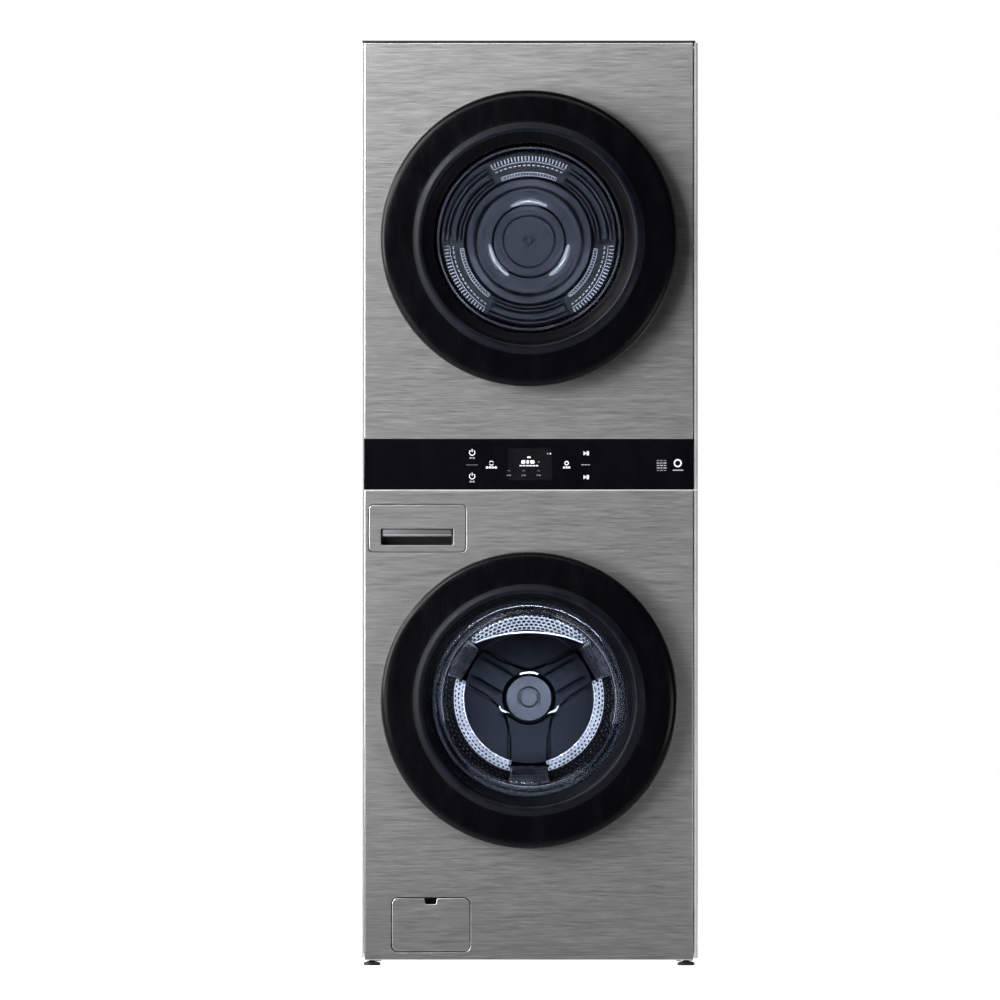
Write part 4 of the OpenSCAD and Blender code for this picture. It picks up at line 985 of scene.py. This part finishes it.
def washer_drum():
    """Perforated wall, pressed back and rolled front of the washer drum, inside its outer shell."""
    shape = Shape()
    washer_wall(shape)
    radii = [0.01, 3, 6, 9, 12] + [12 + 1.55 * k for k in range(1, 78)] + [134]
    # the hub in darkened steel and the rest of the back in near-black steel: painted shade
    height_field(shape, washer_back, radii, WASHER_Z, PRESSED_BACK, 360, lambda r, a: HUB if r < 48 else PAINTED_SHADE)
    # bead along the edge of the upper perforated field, in light satin steel: a painted highlight
    rim = []
    for k in range(-HOLED_HALF, HOLED_HALF + 1, 2):
        r = lens_edge(abs(k)) / MM - 2.5
        rim.append(polar(r * MM, 90 + k, PRESSED_BACK - (wall_depth(r) + 1.2) * MM, WASHER_Z))
    shape.tube(rim, 1.7 * MM, PAINTED_HIGHLIGHT)
    # crescent bead over the hub, and a wing at each side under it, in light satin steel: painted highlights
    face = PRESSED_BACK - 8 * MM
    shape.tube(arc_points(53.5, 90, 20, face - 2 * MM, WASHER_Z, 24), 1.9 * MM, PAINTED_HIGHLIGHT)
    wing = [(40, -31, 0.6), (46, -28, 1.5), (52, -27, 2.1), (57, -23, 1.5), (61, -16, 0.6)]
    for side in (-1, 1):
        points = [(side * x * MM, face - 6 * MM, WASHER_Z + z * MM) for x, z, _ in wing]
        for start, end, (_, _, thick) in zip(points, points[1:], wing):
            shape.tube([start, end], thick * MM, PAINTED_HIGHLIGHT)
    # beads along both edges of each spoke
    for spoke in LIFTER_ANGLES:
        for side in (-1, 1):
            path = []
            for along in range(62, 124, 4):
                turn = math.degrees(math.atan2(side * SPOKE_HALF, along))
                path.append(polar(math.hypot(along, SPOKE_HALF) * MM, spoke + turn, face + 1 * MM, WASHER_Z))
            shape.tube(path, 0.5 * MM, HUB, 6)
    f, b, r = low("washer_drum").y, WASHER_BACK, 280
    outer = [(209 * MM, WALL_FRONT)] + set_back(f, [(210, 8), (213, 1), (218, -0.4), (262, 1), (r - 4, 9), (r, 21)])
    outer += set_back(b, [(r, -10), (r - 6, -2), (r - 18, 0), (140, -2), (140, -3)])
    inner = set_back(b, [(140, -3), (r - 19, -1.1), (r - 7, -3.5), (r - 1.1, -10.5)])
    inner += set_back(f, [(r - 1.1, 21), (r - 5, 9.5), (261, 2.2), (218, 0.8), (214, 2), (211.5, 8)])
    inner += [(210.5 * MM, WALL_FRONT), (209 * MM, WALL_FRONT)]
    shape.turned(outer, WASHER_Z, segments=160, closed=False)
    shape.turned(inner, WASHER_Z, segments=160, slot=SHADED, closed=False)
    return shape


washer_drum().build("washer_drum_pressed", "drum_steel", [DRUM_STEEL, DRUM_HUB_SHADE, DRUM_DARK, DRUM_HIGHLIGHT_PAINT, DRUM_SHADE_PAINT],
                    "washer_drum", ["washer_drum"], 40)
washer_lifters = Shape()
for lifter_angle in LIFTER_ANGLES:
    lifter_surface(washer_lifters, WASHER_Z, lifter_angle, -0.17, 0.205, 0.193, 0.138, 0.2, 0.044, 9, 0.0026)
washer_lifters.build("washer_drum_lifters", "lifter_plastic", [LIFTER], "washer_drum", ["washer_lifters"])


# ---------------------------------------------------------------- gasket

def gasket():
    """Grey rubber bellows from the mouth of the cabinet to the tub, with two fine beads on its lip."""
    shape = Shape()
    s, m = SEAT_DEPTH - 0.4 * MM, 225.5 * MM
    tub = low("tub_front").y
    depths = [
        (0.199, 0.022), (0.2005, 0.0195), (0.205, 0.0165), (0.211, s - 0.0036), (m + 0.009, s - 0.0036),
        (m + 0.009, s), (m, s), (m, 0.034), (0.2335, 0.038), (0.2385, 0.0405), (0.239, 0.043),
        (0.2375, 0.0455), (0.229, 0.0485), (0.2255, 0.0505), (0.225, 0.0545), (0.227, 0.057), (0.2315, 0.058)]
    inner = [(0.228, 0.0615), (0.2235, 0.060), (0.2215, 0.057), (0.221, 0.0515), (0.223, 0.0475), (0.232, 0.0435),
             (0.233, 0.0425), (0.2305, 0.0405), (0.2225, 0.037), (m - 0.0035, 0.034), (m - 0.0035, s), (0.213, s),
             (0.207, 0.0198), (0.2035, 0.0225), (0.202, 0.0245)]
    outline = [(r, FRONT + d) for r, d in depths] + [(0.2315, tub), (0.228, tub)]
    outline += [(r, FRONT + d) for r, d in inner]
    shape.turned(outline, WASHER_Z, segments=192)
    piece = shape.build("gasket_bellows", "seal_rubber", [SEAL], None, ["door_gasket"], 50)
    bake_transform(piece)


gasket()


# ---------------------------------------------------------------- feet

def foot(node):
    """Rubber pad, hexagonal lock nut and threaded stud of one levelling foot."""
    shape = Shape()
    at = middle(node)
    pad = [(0, 0), (15.5, 0), (16.9, 0.5), (17.5, 2), (17.5, 5.2), (16.8, 6.2), (14.5, 7.4), (9, 8.6), (0, 8.6)]
    nut_low, nut_high, top = 8.8, 14.8, 70.0

    def lathe(outline, slot):
        rows = [[(x, y, h * MM) for x, y in circle(at.x, at.y, r * MM, 48)] for r, h in outline]
        shape.grid(rows, slot, around=True)

    lathe(pad, 0)
    hexagon = circle(at.x, at.y, 11 * MM, 6)
    nut = ((3.5, nut_low), (0.8, nut_low), (0, nut_low + 0.8),
           (0, nut_high - 0.8), (0.8, nut_high), (3.5, nut_high))
    rows = [[(x, y, h * MM) for x, y in inset(hexagon, d * MM)] for d, h in nut]
    shape.grid(rows, 1, around=True)
    thread = []
    pitch, start = 1.75, 8.4
    for k in range(int((top - start) / pitch)):
        h = start + k * pitch
        thread += [(5.35, h), (5.9, h + pitch * 0.35), (5.9, h + pitch * 0.6)]
    lathe([(0, start)] + thread + [(5.3, top - 1), (0, top - 0.5)], 1)
    shape.build(node + "_levelling", "foot_mix", [RUBBER, BRIGHT], node, [node])


for foot_node in ("foot_front_left", "foot_front_right", "foot_rear_left", "foot_rear_right"):
    foot(foot_node)


# ---------------------------------------------------------------- floor, light and camera

def floor():
    paint = Paint("studio_floor", (0.86, 0.86, 0.86), 0.7)
    grain = paint.noise(3, 3, 0.5)
    paint.colour(paint.band(grain), (0.85, 0.85, 0.85), (0.87, 0.87, 0.87))
    paint.set(Emission_Color=(1, 1, 1, 1), Emission_Strength=0.72)
    shape = Shape()
    disc = [(x, y, 0) for x, y in circle(0, 0, 9.0, 96)]
    shape.add(disc, [tuple(range(len(disc)))])
    mesh = bpy.data.meshes.new("floor")
    mesh.from_pydata(shape.points, [], shape.faces)
    mesh.materials.append(paint.material)
    piece = bpy.data.objects.new("floor", mesh)
    bpy.context.scene.collection.objects.link(piece)
    piece.visible_glossy = False


def area_light(name, place, target, size, power, colour=(1, 1, 1), shape="RECTANGLE"):
    data = bpy.data.lights.new(name, "AREA")
    data.shape = shape
    data.size = size[0]
    data.size_y = size[1]
    data.energy = power
    data.color = colour
    light = bpy.data.objects.new(name, data)
    light.location = place
    light.rotation_euler = (Vector(target) - Vector(place)).to_track_quat("-Z", "Y").to_euler()
    light.visible_camera = False
    bpy.context.scene.collection.objects.link(light)


def studio_world():
    """Bright to the left, below and behind, and dark straight ahead, so that polished black stays black."""
    world = bpy.data.worlds.new("studio")
    bpy.context.scene.world = world
    world.use_nodes = True
    tree = world.node_tree
    tree.nodes.clear()
    where = tree.nodes.new("ShaderNodeTexCoord")
    split = tree.nodes.new("ShaderNodeSeparateXYZ")
    tree.links.new(where.outputs["Generated"], split.inputs["Vector"])

    def ramp(axis, start, end, strength):
        made = tree.nodes.new("ShaderNodeMapRange")
        made.interpolation_type = "SMOOTHSTEP"
        for name, value in (("From Min", start), ("From Max", end), ("To Min", 0), ("To Max", strength)):
            made.inputs[name].default_value = value
        tree.links.new(split.outputs[axis], made.inputs["Value"])
        return made.outputs["Result"]

    def combine(operation, a, b):
        made = tree.nodes.new("ShaderNodeMath")
        made.operation = operation
        tree.links.new(a, made.inputs[0])
        tree.links.new(b, made.inputs[1])
        return made.outputs["Value"]

    aside = ramp("Y", -0.95, -0.6, 1.0)
    down = combine("MULTIPLY", aside, ramp("Z", -0.05, -0.6, 1.2))
    left = combine("MULTIPLY", aside, ramp("X", -0.05, -0.6, 1.0))
    behind = ramp("Y", 0.0, 0.5, 0.65)
    around = tree.nodes.new("ShaderNodeBackground")
    around.inputs["Color"].default_value = (0.94, 0.97, 1, 1)
    tree.links.new(combine("ADD", combine("ADD", down, left), behind), around.inputs["Strength"])
    white = tree.nodes.new("ShaderNodeBackground")
    white.inputs["Color"].default_value = (1, 1, 1, 1)
    white.inputs["Strength"].default_value = 1.0
    rays = tree.nodes.new("ShaderNodeLightPath")
    both = tree.nodes.new("ShaderNodeMixShader")
    tree.links.new(rays.outputs["Is Camera Ray"], both.inputs["Fac"])
    tree.links.new(around.outputs["Background"], both.inputs[1])
    tree.links.new(white.outputs["Background"], both.inputs[2])
    out = tree.nodes.new("ShaderNodeOutputWorld")
    tree.links.new(both.outputs["Shader"], out.inputs["Surface"])


def lights():
    aim = (0, FRONT, 0.95)
    area_light("key", (-2.2, -2.5, 3.0), aim, (1.5, 2.0), 176)
    area_light("far_left", (-3.4, -1.2, 1.9), aim, (2.0, 2.4), 282)
    area_light("left", (-2.6, -2.0, 1.2), aim, (0.6, 2.4), 24)
    area_light("low_left", (-1.8, -2.2, 0.45), aim, (0.8, 0.6), 10)
    area_light("low_right", (1.8, -2.2, 0.35), aim, (0.8, 0.6), 9)
    area_light("top", (0, -2.4, 3.5), aim, (2.5, 0.8), 30)
    cold = (0.93, 0.965, 1)
    area_light("washer_lamp_up", (0, -0.02, WASHER_Z - 0.1), (0, 0.08, WASHER_Z + 0.2), (0.26, 0.2), 8.0, cold)
    area_light("washer_lamp_down", (0, -0.06, WASHER_Z + 0.02), (0, 0.14, WASHER_Z - 0.2), (0.24, 0.06), 4.5, cold)
    for turn in CRESCENT_ANGLES:
        place = polar(0.15, turn, -0.12, DRYER_Z)
        area_light("dryer_lamp_%d" % turn, place, polar(0.1, turn, 0.3, DRYER_Z), (0.1, 0.1), 1.5, cold, "DISK")


def camera():
    """A long lens straight ahead of the front, framed as the photograph is."""
    data = bpy.data.cameras.new("camera")
    distance, view_width = 60.0, 2.0426
    data.sensor_width = 36.0
    data.lens = data.sensor_width * distance / view_width
    data.shift_x = -0.0289
    data.shift_y = 0.0032
    data.clip_start, data.clip_end = 1.0, 200.0
    piece = bpy.data.objects.new("camera", data)
    piece.location = (0, FRONT - distance, 0.945)
    piece.rotation_euler = (math.radians(90), 0, 0)
    bpy.context.scene.collection.objects.link(piece)
    bpy.context.scene.camera = piece


floor()
studio_world()
lights()
camera()
bpy.context.scene.view_settings.view_transform = "Standard"
